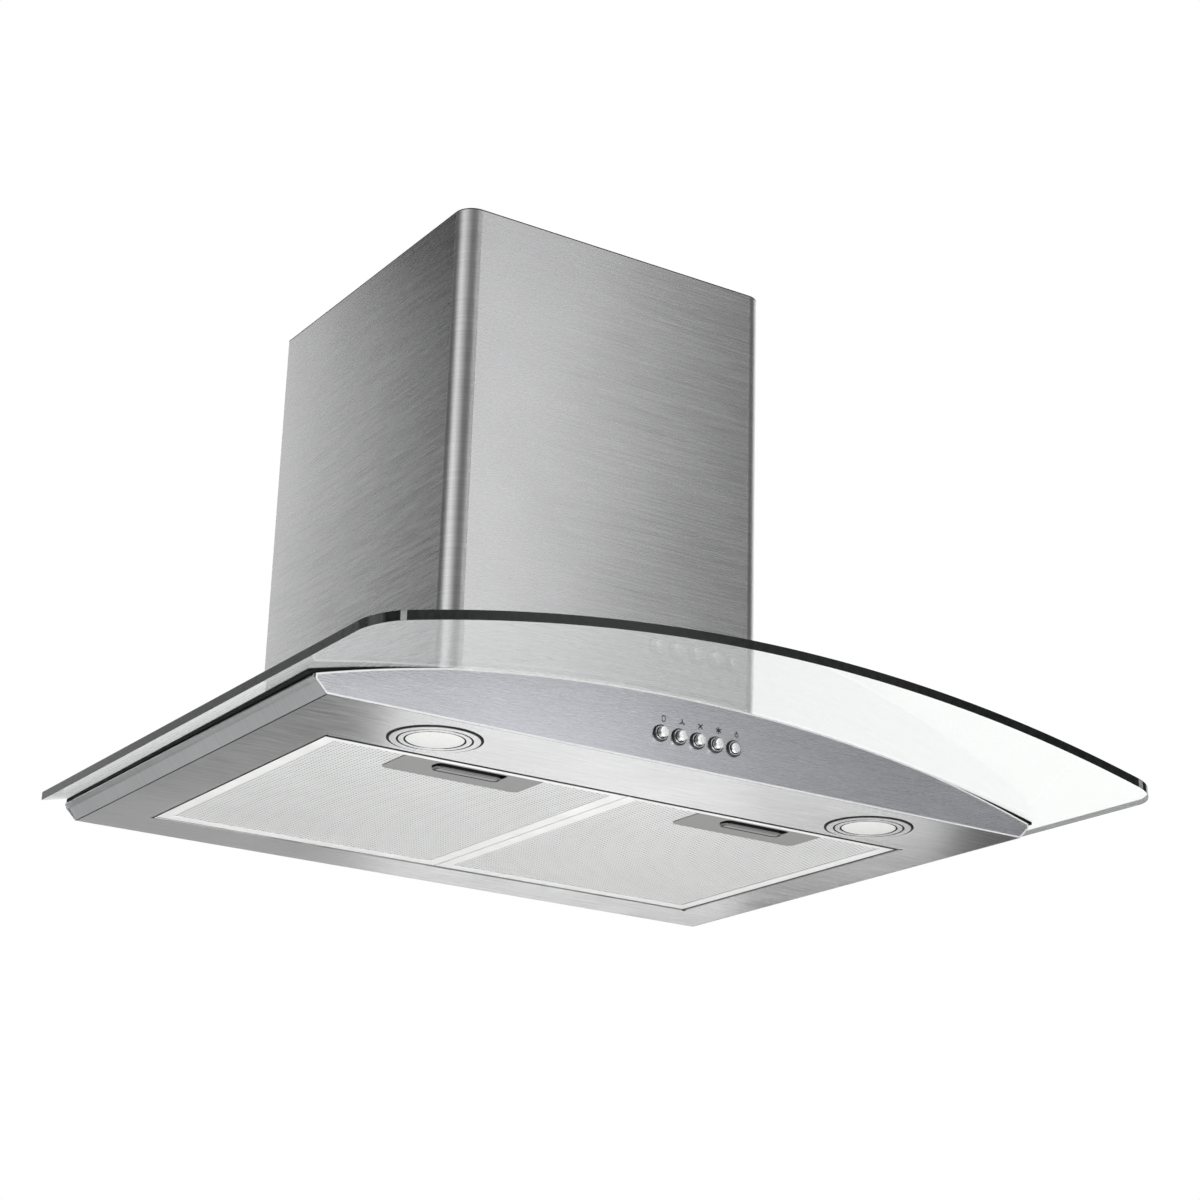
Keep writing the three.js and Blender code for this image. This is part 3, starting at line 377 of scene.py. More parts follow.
def spangled_zinc():
    """Hot-dip galvanised sheet: flat crystals 8 mm across in slightly different greys."""
    material, tree, shader = new_finish("hot_dip_galvanised_steel", Metallic=0.9)
    cells = pattern(tree, [8, 8, 8], "ShaderNodeTexVoronoi")
    grey = add(tree, "ShaderNodeSeparateColor", links={"Color": cells.outputs["Color"]})
    tree.links.new(blend_colours(tree, grey.outputs[0], "8f959a", "b3b8bc", 0, 1),
                   shader.inputs["Base Color"])
    tree.links.new(spread(tree, grey.outputs[1], 0.32, 0.5, 0, 1), shader.inputs["Roughness"])
    return material


def moulded(name, tones, rough, cells_mm, bump_mm=0.03, gloss=0.5):
    """Moulded plastic, rubber or paint: no metal, with a fine even texture."""
    return plain_metal(name, tones, rough, [cells_mm] * 3, bump_mm, 0.0, gloss)


def glass_edge(name, tones, rough, gloss=0.5):
    """A cut edge of the glass as an opaque colour, into which its shade, and for one facet its
    glint, are painted: it looks solid because no light comes through along it.
    """
    return moulded(name, tones, rough, 4, 0.005, gloss)


def clear_glass(name, clear):
    """Toughened float glass, 6 mm: clear; below a clear of 1, a soft white veil of diffuse colour is
    painted in as a painted reflection of the white room. Its IOR is below the real 1.5, to let as
    much through at a flat angle as the real one shows."""
    material, tree, shader = new_finish(
        name, **{"Base Color": colour("fcfefd"), "Transmission Weight": clear, "IOR": 1.2})
    smears = pattern(tree, [40, 25, 25], Detail=2.0).outputs["Fac"]
    tree.links.new(spread(tree, smears, 0.0, 0.035), shader.inputs["Roughness"])
    return material


# ======================= chimney and glass =======================

def lower_cover():
    """The folded cover: a box without top, bottom and back, its front corners bent
    to a radius, its lower edge cut to the arch of the glass."""
    obj = block("lower_cover_sheet", (-COVER_HALF, COVER_HALF), (-COVER_DEPTH, 0),
                (30, COVER_TOP))
    pick(obj, "FACE", lambda c, n: abs(n.z) > 0.9 or n.y > 0.9)
    bpy.ops.mesh.delete(type="FACE")
    done()
    pick(obj, "EDGE", lambda a, b: a.x == b.x and a.y < -COVER_DEPTH + 1 and b.y < -COVER_DEPTH + 1)
    bpy.ops.mesh.bevel(offset=COVER_CORNER * MM, segments=14, affect="EDGES")
    done()
    for side in (-1, 1):
        pick(obj, "EDGE", lambda a, b: a.y > -1 and b.y > -1 and a.x * side > 0)
        extrude_by(-side * COVER_RETURN, 0, 0)
        done()
    modify(obj, "SOLIDIFY", thickness=SHEET * MM, offset=-1, use_even_offset=True)
    combine(obj, arch(GLASS_RADIUS + GLASS_THICK + GAP, GLASS_CREST + GLASS_THICK + GAP,
                      (-300, 10)))
    soften(obj, 0.12, 1, 60)
    edge_foot = COVER_TOP - COVER_EDGE
    pick(obj, "FACE", lambda c, n: True)
    bpy.ops.mesh.bisect(plane_co=row(0, 0, edge_foot), plane_no=(0, 0, 1))
    done()
    with_finishes(obj, STEEL, STEEL_BEND, COVER_TOP_SHADE)
    # the two bends, and then the band along the top, painted dark as painted shade at the joint
    pick(obj, "FACE", lambda c, n: min(abs(n.x), abs(n.y)) > 0.03 and c.y < -COVER_DEPTH / 2)
    paint(obj, 1)
    done()
    pick(obj, "FACE", lambda c, n: c.z > edge_foot)
    paint(obj, 2)
    done()
    return lay_grain(obj, (0, 0, 1))


def canopy():
    """Bent glass, cut from a thick block between two cylinders, with rounded front
    corners, the throat and bolt holes, and arrised edges."""
    obj = block("arched_glass", (-GLASS_HALF, GLASS_HALF), (-GLASS_DEPTH, 0), (-10, 80))
    pick(obj, "EDGE", lambda a, b: a.x == b.x and a.y == b.y and a.y < -1)
    bpy.ops.mesh.bevel(offset=GLASS_CORNER * MM, segments=16, affect="EDGES")
    done()
    combine(obj, arch(GLASS_RADIUS + GLASS_THICK, GLASS_CREST + GLASS_THICK, (-520, 15)),
            "INTERSECT")
    combine(obj, arch(GLASS_RADIUS, GLASS_CREST, (-520, 15)))
    combine(obj, block("tool", (-THROAT_HALF, THROAT_HALF), (THROAT_FRONT, THROAT_REAR),
                       (20, 70)))
    for x in (-BOLT_X, BOLT_X):
        for y in (BOLT_REAR, BOLT_FRONT):
            combine(obj, rod("tool", "z", BOLT_HOLE, 60, (x, y, 45), 24))
    soften(obj, 0.7, 3, 50)
    places = ((GLASS, lambda c, n: True), (GLASS_UNDER_VEIL, lambda c, n: n.z < -0.9),
              (GLASS_EDGE, lambda c, n: abs(n.z) < 0.75 and c.y < -300),
              (GLASS_ARRIS_SHADE, lambda c, n: 0.15 < abs(n.z) < 0.93 and c.y < -480
               and abs(n.y) > 0.25),
              (GLASS_GLINT_FACET, lambda c, n: abs(n.z) < 0.15 and -0.999 < n.y < -0.98
               and abs(c.x) > GLASS_HALF - GLASS_CORNER),
              (GLASS_SIDE, lambda c, n: abs(n.z) < 0.75 and abs(n.x) > 0.6
               and abs(c.x) > GLASS_HALF - 8))
    with_finishes(obj, *(material for material, _ in places))
    for index, (_, place) in enumerate(places):
        pick(obj, "FACE", place)
        paint(obj, index)
        done()
    return obj


def canopy_seal():
    """Rubber strip on three sides between the body and the glass."""
    obj = block("canopy_gasket", (-BODY_TOP_HALF, BODY_TOP_HALF), (-BODY_DEPTH + 1.1, 0),
                (-5, 60))
    pick(obj, "EDGE", lambda a, b: a.x == b.x and a.y == b.y and a.y < -1)
    bpy.ops.transform.resize(value=(1 + SEAL_BULGE / BODY_TOP_HALF, 1, 1), center_override=(0, 0, 0))
    done()
    combine(obj, arch(GLASS_RADIUS - GAP, GLASS_CREST - GAP, (-420, 10)), "INTERSECT")
    combine(obj, arch(BODY_RADIUS + GAP, BODY_CREST + GAP, (-420, 10)))
    for x in (-310, BODY_TOP_HALF):
        combine(obj, block("tool", (x, x + 310 - BODY_TOP_HALF), (-BODY_DEPTH - 1, 5),
                           (-20, SIDE_HEIGHT + GAP)))
    inside = BODY_TOP_HALF - SEAL_WIDTH
    combine(obj, block("tool", (-inside, inside), (-BODY_DEPTH + SEAL_WIDTH, 5), (0, 70)))
    return soften(obj, 0.15, 1, 60)


# ======================= body =======================

def button_x(index):
    return BUTTON_X + (index - 2) * PITCH


def slant(obj, side):
    """Trims one end of a front or back panel to the lean of the side wall."""
    only(obj)
    bpy.ops.object.mode_set(mode="EDIT")
    bpy.ops.mesh.select_all(action="SELECT")
    bpy.ops.mesh.bisect(plane_co=row(side * BODY_HALF, 0, 0),
                        plane_no=(side * SIDE_HEIGHT, 0, -FLARE),
                        use_fill=True, clear_outer=True)
    done()


def end_panel(name, y, rise=0.0):
    """A front or back sheet; rise lifts its arch in the middle."""
    obj = block(name, (-BODY_TOP_HALF, BODY_TOP_HALF), y, (0, 60))
    crest = BODY_CREST + rise
    combine(obj, arch(arch_radius(BODY_TOP_HALF, crest - SIDE_HEIGHT), crest,
                      (y[0] - 5, y[1] + 5)), "INTERSECT")
    slant(obj, -1)
    slant(obj, 1)
    return obj


def fascia():
    """The front sheet: it meets the glass in the middle and falls away from it towards both ends. A
    painted highlight, a near-white line, runs all round its rim."""
    obj = end_panel("arched_fascia", (-BODY_DEPTH, -BODY_DEPTH + SHEET), FASCIA_RISE)
    combine(obj, arch(GLASS_RADIUS - FASCIA_GAP, GLASS_CREST - FASCIA_GAP, (-400, -390)),
            "INTERSECT")
    for i in range(5):
        combine(obj, rod("tool", "y", RING_RADIUS + GAP, 10,
                         (button_x(i), -BODY_DEPTH, BUTTON_Z), 48))
    with_finishes(obj, STEEL_FRONT, FASCIA_RIM_HIGHLIGHT)
    # The outer band of the front face, FASCIA_RIM wide, is painted near white as a painted
    # highlight.
    pick(obj, "FACE", lambda c, n: n.y < -0.9)
    paint(obj, 1)
    inset(FASCIA_RIM)
    paint(obj, 0)
    done()
    # no painted highlight round the button holes
    pick(obj, "FACE", lambda c, n: abs(c.x - BUTTON_X) < 3 * PITCH
         and abs(c.z - BUTTON_Z) < BUTTON_RADIUS + RING_RADIUS)
    paint(obj, 0)
    done()
    return lay_grain(smooth(obj), (0, 0, 1))


def back():
    return lay_grain(soften(end_panel("rear_panel", (-SHEET, 0)), 0.2, 2, 60), (0, 0, 1))


def side_wall():
    """The right wall, drawn out fold by fold from its foot: a leaning strip, a soft bend
    outwards, the lip, and the hem folded back over the top."""
    y = (-BODY_DEPTH + SHEET + GAP, -SHEET - GAP)
    obj = block("side_wall_right", (BODY_HALF - 1, BODY_HALF), y, (0, 1))
    pick(obj, "FACE", lambda c, n: n.x < 0.9)
    bpy.ops.mesh.delete(type="FACE")
    done()
    pick(obj, "EDGE", lambda a, b: min(a.z, b.z) > 0.9)
    bpy.ops.transform.translate(value=(5.4 * MM, 0, 6.3 * MM))
    for dx, dz in ((0.7, 0.75), (0.9, 0.65), (1.1, 0.5), (0.9, 0.3), (0.2, 0.2), (0, 1.2),
                   (-0.3, 0.3), (-1.7, 0)):
        extrude_by(dx, 0, dz)
    done()
    modify(obj, "SOLIDIFY", thickness=0.7 * MM, offset=-1, use_even_offset=True)
    return lay_grain(smooth(obj, 50), (0, 1, 0))


def underside():
    """The tray: a sheet with the filter opening, its upturned rim with rolled edges,
    a relief hole in each corner of the opening, and the lamp holes."""
    half = BODY_HALF - SHEET - GAP
    obj = block("underside_tray", (-half, half), (-BODY_DEPTH + SHEET + GAP, -SHEET - GAP),
                (0, SHEET))
    rim = block("rim", (-OPENING_HALF - SHEET, OPENING_HALF + SHEET),
                (OPENING_FRONT - SHEET, OPENING_REAR + SHEET), (0, RIM))
    combine(obj, rim, "UNION")
    combine(obj, block("tool", (-OPENING_HALF, OPENING_HALF),
                       (OPENING_FRONT, OPENING_REAR), (-1, RIM + 1)))
    pick(obj, "EDGE", lambda a, b: max(abs(a.z), abs(b.z)) < 0.01
         and max(abs(a.x), abs(b.x)) < OPENING_HALF + 0.01
         and max(a.y, b.y) < OPENING_REAR + 0.01 and min(a.y, b.y) > OPENING_FRONT - 0.01)
    bpy.ops.mesh.bevel(offset=0.7 * MM, segments=4, affect="EDGES")
    done()
    for x in (-OPENING_HALF, OPENING_HALF):
        for y in (OPENING_FRONT, OPENING_REAR):
            combine(obj, rod("tool", "z", TRAY_HOLE, 3, (x, y, 0), 24))
    for x in (-LAMP_X, LAMP_X):
        combine(obj, rod("tool", "z", LAMP_HOLE, 10, (x, LAMP_Y, 0), 96))
    return lay_grain(soften(obj, 0.2, 2, 60), (0, 1, 0))


# ======================= filter cassettes, the right one first =======================

def rails():
    """The frame: rolled aluminium strips mitred at the corners, a channel for the sheet
    inside them, a channel for the bolt, and the two tongues that rest on the rear rim."""
    x0, x1, y0, y1 = CASSETTE_IN, CASSETTE_OUT, CASSETTE_FRONT, CASSETTE_REAR
    obj = block("filter_rails_right", (x0, x1), (y0, y1), (CASSETTE_LOW, CASSETTE_HIGH))
    combine(obj, block("tool", (x0 + STRIP, x1 - STRIP), (y0 + STRIP, y1 - STRIP), (0, 10)))
    combine(obj, block("tool", (x0 + 1, x1 - 1), (y0 + 1, y1 - 1),
                       (CASSETTE_LOW + SHEET, CASSETTE_HIGH - SHEET)))
    for dx in (-60, 60):
        x = CASSETTE_X + dx
        combine(obj, block("tongue", (x - 10, x + 10), (y1 - STRIP / 2, y1 + 6),
                           (RIM + GAP, RIM + GAP + 1)), "UNION")
    combine(obj, block("tool", (CASSETTE_X - 10.3, CASSETTE_X + 10.3), (y0 - 5, LATCH_FRONT),
                       (2.7, 4.8)))
    soften(obj, 0.35, 3, 60)
    reach = STRIP / 2
    for x, sx in ((x0 + reach, 1), (x1 - reach, -1)):
        for y, sy in ((y0 + reach, 1), (y1 - reach, -1)):
            bpy.ops.mesh.primitive_cube_add(
                size=1, location=row(x, y, CASSETTE_LOW), scale=(20 * MM, 0.3 * MM, 0.6 * MM),
                rotation=(0, 0, sx * sy * math.pi / 4))
            combine(obj, settle(bpy.context.object, "tool"))
    return smooth(obj)


def gap_shade_bead():
    """Black bead along the front and outer foot of the frame, in the gap to the tray: a dark strip
    put there as painted shade of the gap."""
    x0, x1, y0, y1 = CASSETTE_IN, CASSETTE_OUT, CASSETTE_FRONT, CASSETTE_REAR
    obj = block("filter_shade_bead_right", (x0, x1), (y0, y1), (0.32, CASSETTE_LOW))
    combine(obj, block("tool", (x0 - 1, x1 - 1.1), (y0 + 3.4, y1 + 1), (-1, 10)))
    return soften(obj, 0.15, 1, 60)


def perforated_sheet():
    """Aluminium sheet with 1.7 mm holes staggered at 3.6 mm: a six-sided cell with its hole
    and the hole's wall, repeated in rows, and cut away behind the finger slot."""
    pitch = SHEET_HOLE_PITCH
    bpy.ops.mesh.primitive_circle_add(vertices=6, radius=pitch / math.sqrt(3) * MM,
                                      rotation=(0, 0, math.pi / 2), fill_type="NGON")
    obj = settle(bpy.context.object, "perforated_sheet_right")
    bpy.ops.object.mode_set(mode="EDIT")
    bpy.ops.mesh.select_mode(type="FACE")
    bpy.ops.mesh.select_all(action="SELECT")
    bpy.ops.mesh.inset(thickness=SHEET_HOLE_EDGE * MM)
    extrude_by(0, 0, 0.25)
    bpy.ops.mesh.delete(type="ONLY_FACE")
    bpy.ops.mesh.select_all(action="SELECT")
    bpy.ops.mesh.flip_normals()
    done()
    step = pitch * math.sin(math.pi / 3)
    obj = welded(obj, copy_of(obj, "cell", (step, pitch / 2, 0)))
    across = int((CASSETTE_OUT - CASSETTE_IN - 2 * STRIP + 8) / (2 * step))
    along = int((CASSETTE_REAR - CASSETTE_FRONT - 2 * STRIP + 8) / pitch)
    for count, shift in ((across, (2 * step * MM, 0, 0)), (along, (0, pitch * MM, 0))):
        modify(obj, "ARRAY", count=count, use_relative_offset=False,
               use_constant_offset=True, constant_offset_displace=shift)
    bpy.ops.object.mode_set(mode="EDIT")
    bpy.ops.mesh.select_all(action="SELECT")
    bpy.ops.mesh.remove_doubles(threshold=1e-5)
    done()
    obj.location = row(CASSETTE_IN + STRIP - 1, CASSETTE_FRONT + STRIP - 1.6, 1.62)
    settle(obj, "perforated_sheet_right")
    pick(obj, "FACE", lambda c, n: abs(c.x - CASSETTE_X) < SLOT_WIDTH / 2 + 1
         and SLOT_FRONT - 1 < c.y < SLOT_FRONT + SLOT_DEPTH + 2)
    bpy.ops.mesh.delete(type="FACE")
    done()
    return obj


def pill(name, x, y0, y1, width, z, corner):
    """A flat block with rounded upright corners."""
    obj = block(name, (x - width / 2, x + width / 2), (y0, y1), z)
    pick(obj, "EDGE", lambda a, b: a.x == b.x and a.y == b.y)
    bpy.ops.mesh.bevel(offset=corner * MM, segments=8, affect="EDGES")
    done()
    return obj


def grip_plate():
    """The handle plate: rounded rear corners and a round-ended slot."""
    half, back = PLATE_WIDTH / 2, PLATE_FRONT + PLATE_DEPTH
    obj = block("grip_plate_right", (CASSETTE_X - half, CASSETTE_X + half),
                (PLATE_FRONT, back), (PLATE_TOP - PLATE_THICK, PLATE_TOP))
    pick(obj, "EDGE", lambda a, b: a.x == b.x and a.y == b.y and a.y > back - 1)
    bpy.ops.mesh.bevel(offset=5 * MM, segments=8, affect="EDGES")
    done()
    combine(obj, pill("tool", CASSETTE_X, SLOT_FRONT, SLOT_FRONT + SLOT_DEPTH,
                      SLOT_WIDTH, (-5, 10), 4))
    return soften(obj, 0.25, 2, 60)


def latch_pull():
    """The finger pull: a rounded lip under the plate, a stem up through the slot and a bolt forward
    to the rim of the opening. A black band with a groove round the lip's face is painted shade of a
    gap."""
    x, front = CASSETTE_X, LATCH_FRONT
    lip_top = PLATE_TOP - PLATE_THICK - GAP
    half = LATCH_WIDTH / 2
    obj = pill("latch_pull_right", x, front, front + LATCH_REACH, LATCH_WIDTH,
               (lip_top - 1.2, lip_top), 3.5)
    with_finishes(obj, GREY_ABS, BLACK_ABS)
    pick(obj, "FACE", lambda c, n: n.z < -0.9)
    # The band inside the rim, with its groove, is painted black as painted shade of a gap round the
    # lip.
    inset(0.3)
    paint(obj, 1)
    inset(0.25, -0.3)
    inset(1.4)
    inset(0.25, 0.3)
    paint(obj, 0)
    done()
    combine(obj, block("stem", (x - half + 3, x + half - 3), (front, front + 3.5),
                       (lip_top - 1, 4.5)), "UNION")
    combine(obj, block("bolt", (x - 10, x + 10), (OPENING_FRONT + GAP, front + 3.5),
                       (3, 4.5)), "UNION")
    pick(obj, "FACE", lambda c, n: c.z > lip_top + 0.01 and n.z < 0.9)
    paint(obj, 1)
    done()
    return soften(obj, 0.35, 3, 50)


# ======================= lamps, buttons, signs =======================

def lamp_trim(x, side):
    """Thin turned trim in the tray's own brushed steel, with a groove in its face."""
    face, inner, groove, barrel = LAMP_FACE, LENS_RADIUS + GAP, LAMP_GROOVE, LAMP_HOLE - GAP
    outer = LAMP_RADIUS - 0.7
    obj = turned(f"lamp_trim_{side}", "z", [
        (inner, 0.5), (inner, face + 0.2), (inner + 0.2, face), (groove - 0.7, face),
        (groove - 0.6, face + 0.1), (groove - 0.6, face + 0.4), (groove + 0.6, face + 0.4),
        (groove + 0.6, face + 0.1), (groove + 0.7, face), (outer - 0.3, face),
        (outer, face + 0.2), (outer, -GAP), (barrel, -GAP), (barrel, 10),
        (barrel - 1.2, 10), (barrel - 1.2, 0.5), (inner, 0.5)], (x, LAMP_Y, 0), 96)
    return lay_grain(obj, (0, 1, 0))


def lamp_gasket_and_shade_rings(x, side):
    """Three black rings: a gasket under the trim's rim, and two of painted shade, in its groove and
    round the lens.
    """
    rings = ((LAMP_RADIUS + 0.9, LAMP_RADIUS - 2, 0, -GAP),
             (LAMP_GROOVE + 0.6, LAMP_GROOVE - 0.6, LAMP_FACE + 0.4, LAMP_FACE + 0.06),
             (LENS_RADIUS + GAP, LENS_RADIUS - 0.7, 0.5, LAMP_FACE + 0.06))
    obj = welded(*[turned("ring", "z", [(out, high), (out, low), (back, low), (back, high),
                                        (out, high)], (x, LAMP_Y, 0), 96)
                   for out, back, high, low in rings])
    obj.name = obj.data.name = f"lamp_gasket_and_shade_rings_{side}"
    return obj


def diffuser(x, side):
    """Pressed lens with a stepped rim and a shallow dome."""
    r, face = LENS_RADIUS - 0.75, LAMP_FACE
    return turned(f"diffuser_{side}", "z", [
        (r, 0.8), (r, face + 0.3), (r - 0.3, face + 0.05), (r - 1.1, face - 0.1),
        (14.5, face - 0.42), (13.4, face - 0.45), (13.0, face - 0.6), (9, face - 0.72),
        (4, face - 0.79), (0.5, face - 0.8)], (x, LAMP_Y, 0), 96)


def cap(name, index, proud):
    """A turned push button with a flat, chamfered front."""
    r = BUTTON_RADIUS
    return turned(name, "y", [
        (r, -25), (r, -0.5), (r - 0.08, -0.2), (r - 0.3, 0), (r - 0.6, 0.03), (2, 0.06),
        (1, 0.08), (0.2, 0.08)], (button_x(index), -BODY_DEPTH - proud, BUTTON_Z), 48)


def button_ring(index):
    """The guide ring that stands through the fascia round a button, with a bright bead
    turned on its black face."""
    barrel, flange, inner, proud = RING_RADIUS, RING_RADIUS + 0.6, BUTTON_RADIUS + 0.18, 1.45
    name = f"button_ring_{index + 1}"
    obj = turned(name, "y", [
        (barrel, -2.5), (barrel, 0.02), (flange, 0.02), (flange, proud - 0.6),
        (flange - 0.55, proud), (4.6, proud), (4.52, proud + 0.2), (4.2, proud + 0.2),
        (4.12, proud), (inner + 0.15, proud), (inner, proud - 0.3), (inner, -2.5),
        (barrel, -2.5)], (button_x(index), -BODY_DEPTH, BUTTON_Z), 48)
    with_finishes(obj, BLACK_ABS, CHROME)
    pick(obj, "FACE", lambda c, n: c.y < -BODY_DEPTH - proud - 0.05)
    paint(obj, 1)
    done()
    return obj


def stroke(x, z, angle, length, width=SIGN_LINE):
    """One printed line of a sign on the fascia."""
    bpy.ops.mesh.primitive_cube_add(
        size=1, location=row(x, -BODY_DEPTH - 0.02, z), rotation=(0, angle, 0),
        scale=(length * MM, 0.06 * MM, width * MM))
    return settle(bpy.context.object, "stroke")


def loop(x, z, half_width, half_height, width=SIGN_LINE - 0.02):
    """A printed oval line."""
    out, back = half_height + width / 2, half_height - width / 2
    obj = turned("oval", "y", [(out, 0), (out, 0.05), (back, 0.05), (back, 0), (out, 0)],
                 (0, 0, 0), 40)
    obj.location = -row(0, 0, 0)
    settle(obj, "oval")
    obj.scale = (half_width / half_height, 1, 1)
    obj.location = row(x, -BODY_DEPTH, z)
    return settle(obj, "oval")


def signs():
    """Plain symbols above the buttons: off, three fan speeds and the lamp."""
    x, z = [button_x(i) + SIGN_SHIFT for i in range(5)], BUTTON_Z + SIGN_RISE
    off = loop(x[0], z, 1.35, 2.0)
    fans = []
    for i, blades, first in ((1, 3, 90), (2, 4, 45), (3, 6, 90)):
        parts = []
        for blade in range(blades):
            turn = math.radians(first + blade * 360 / blades)
            parts.append(stroke(x[i] + 1.2 * math.cos(turn), z + 1.2 * math.sin(turn),
                                -turn, 2.3))
        fans.append(welded(*parts))
    bulb = welded(loop(x[4], z - 0.6, 1.2, 1.25, 0.6), stroke(x[4], z + 0.85, 0, 1.5, 0.5),
                  stroke(x[4], z + 1.35, 0, 0.95, 0.5), stroke(x[4], z + 1.8, 0, 0.5, 0.4))
    for obj, name in ((off, "sign_off"), (fans[0], "sign_low"), (fans[1], "sign_medium"),
                      (fans[2], "sign_high"), (bulb, "sign_lamp")):
        obj.name = obj.data.name = name
    return [off, *fans, bulb]


# ======================= the finishes of this hood =======================

# Covers: fine horizontal lines, a soft highlight drawn out upwards.
STEEL = brushed_steel("brushed_stainless_covers", [60, 60, 0.9], rough=(0.23, 0.31),
                      stretch=0.65)
# Bends of the covers: the press brake dulls the sheen, so the highlight is broad there.
STEEL_BEND = brushed_steel("brushed_stainless_bends", [60, 60, 0.9], rough=(0.42, 0.48),
                           stretch=0.2)
# Fascia and rear panel: a shorter, cooler and calmer grain.
STEEL_FRONT = brushed_steel("brushed_stainless_fascia", [45, 45, 0.6], ("b6b6bc", "c6c6cc"),
                            (0.24, 0.32), relief=0.12)
# Underside: a glossier sheet, which goes from grey to nearly white with the light.
STEEL_UNDER = brushed_steel("brushed_stainless_underside", [34, 1.7, 34], ("a9a9aa", "cfcfd0"),
                            (0.15, 0.25), 0.4, (0.5, 0.76))
# Side walls: lines that run down the wall.
STEEL_WALL = brushed_steel("brushed_stainless_walls", [70, 0.7, 70], ("b4b5b7", "cfd0d2"))
# Top band of the cover: dull, and painted dark as painted shade at the joint with the upper cover.
COVER_TOP_SHADE = plain_metal("sheared_stainless_edge_painted_shade", ("3c3d3f", "515254"), (0.4, 0.55), [3, 3, 3])
# Rim of the fascia: a painted highlight, a near-white line all round it.
FASCIA_RIM_HIGHLIGHT = plain_metal("fascia_rim_painted_highlight", ("f1f1f2", "fafafa"), (0.3, 0.42),
                          [20, 20, 20], metallic=0.15)

GLASS = clear_glass("clear_toughened_glass", 1.0)
# Face that is seen from below, with a faint white veil painted in as a painted reflection of the
# white room.
GLASS_UNDER_VEIL = clear_glass("clear_toughened_glass_underside_painted_veil", 0.73)
# Polished front edge: nearly black, as light is lost inside the pane.
GLASS_EDGE = glass_edge("polished_glass_edge", ("1a1c1b", "262828"), (0.1, 0.16), 0.2)
# Ground arris along the front edge: a matt black line of painted shade.
GLASS_ARRIS_SHADE = glass_edge("ground_glass_arris_painted_shade", ("030404", "070808"), (0.4, 0.5), 0.1)
# First facet of the rounded corners: a painted glint, a short grey highlight.
GLASS_GLINT_FACET = glass_edge("ground_glass_facet_painted_glint", ("8c8e8d", "a0a2a1"), (0.4, 0.5))
# Side edges: ground, a little gloss, painted dark grey as painted shade.
GLASS_SIDE = glass_edge("ground_glass_side_edge", ("2c2e2d", "3a3d3c"), (0.25, 0.35), 0.25)

# Soft seals and gaskets: matt black that takes nearly no highlight.
RUBBER = moulded("extruded_epdm_rubber", ("060606", "0f0f10"), (0.55, 0.75), 0.8, gloss=0.25)
# Button rings, switch block, fan and outlet: satin black with fine spark texture.
BLACK_ABS = moulded("moulded_black_abs", ("101113", "1b1c1f"), (0.4, 0.55), 1.0)
# Grip plates and finger pulls: mid grey, satin.
GREY_ABS = moulded("moulded_grey_abs", ("808080", "929292"), (0.45, 0.6), 0.9)
# Lamp lenses: milky white, slightly uneven.
FROSTED = moulded("frosted_polycarbonate", ("d3d4d2", "e0e1df"), (0.4, 0.52), 1.5, 0.01)
# Printed signs: flat dark ink, 0.05 mm thick.
PRINT = moulded("screen_printed_ink", ("1c1d1f", "28292b"), (0.6, 0.7), 0.5, 0.002, gloss=0.2)

# Button caps and ring beads: bright with soft reflections.
CHROME = plain_metal("satin_chrome_plated_abs", ("e6e9ea", "f8fafa"), (0.2, 0.3), [3, 3, 3],
                     0.004)
# Filter frame: white-looking rolled strip with faint lines across its length.
ROLLED = plain_metal("rolled_aluminium_strip", ("e3e3e3", "f2f2f2"), (0.35, 0.48),
                     [30, 30, 1.2], metallic=0.1)
# Filter face: an even, pale, matt sheet between its holes.
PERFORATED = plain_metal("perforated_aluminium_sheet", ("e0e1e1", "e6e7e7"), (0.44, 0.5),
                         [60, 60, 60], metallic=0.25)
# Expanded mesh behind the holes: painted dark and restless as painted shade inside the holes, which
# makes the holes read as dots.
MESH_BEHIND_SHADE = plain_metal("layered_aluminium_mesh_painted_shade", ("26272a", "606163"), (0.5, 0.7),
                     [1.4, 1.4, 1.4], 0.3, metallic=0.5)
# Lamp cans above the tray: pale, smooth plating.
TRIM = plain_metal("nickel_plated_trim", ("b9bbbe", "cfd1d3"), (0.22, 0.32), [12, 12, 12], 0.01)
ZINC = spangled_zinc()
# Bolts and the flap pin: bright zinc with a fine grey tooth.
BOLT_ZINC = plain_metal("zinc_plated_bolts", ("a9adb1", "c6cacd"), (0.25, 0.4), [2, 2, 2])
# Motor shell: dull drawn steel.
MOTOR_METAL = plain_metal("pressed_motor_shell", ("7f8387", "9a9ea2"), (0.3, 0.45), [6, 6, 6])

# ======================= the pieces =======================

SIDES = ((1, "right"), (-1, "left"))

finished(lower_cover(), None, replaces=["chimney_cover"])
finished(canopy(), None, replaces=["glass_canopy"])
finished(canopy_seal(), RUBBER, replaces=["glass_seal"])
finished(fascia(), None, replaces=["fascia_panel"])
finished(back(), STEEL_FRONT, replaces=["back_panel"])
finished(underside(), STEEL_UNDER, replaces=["underside_panel"])

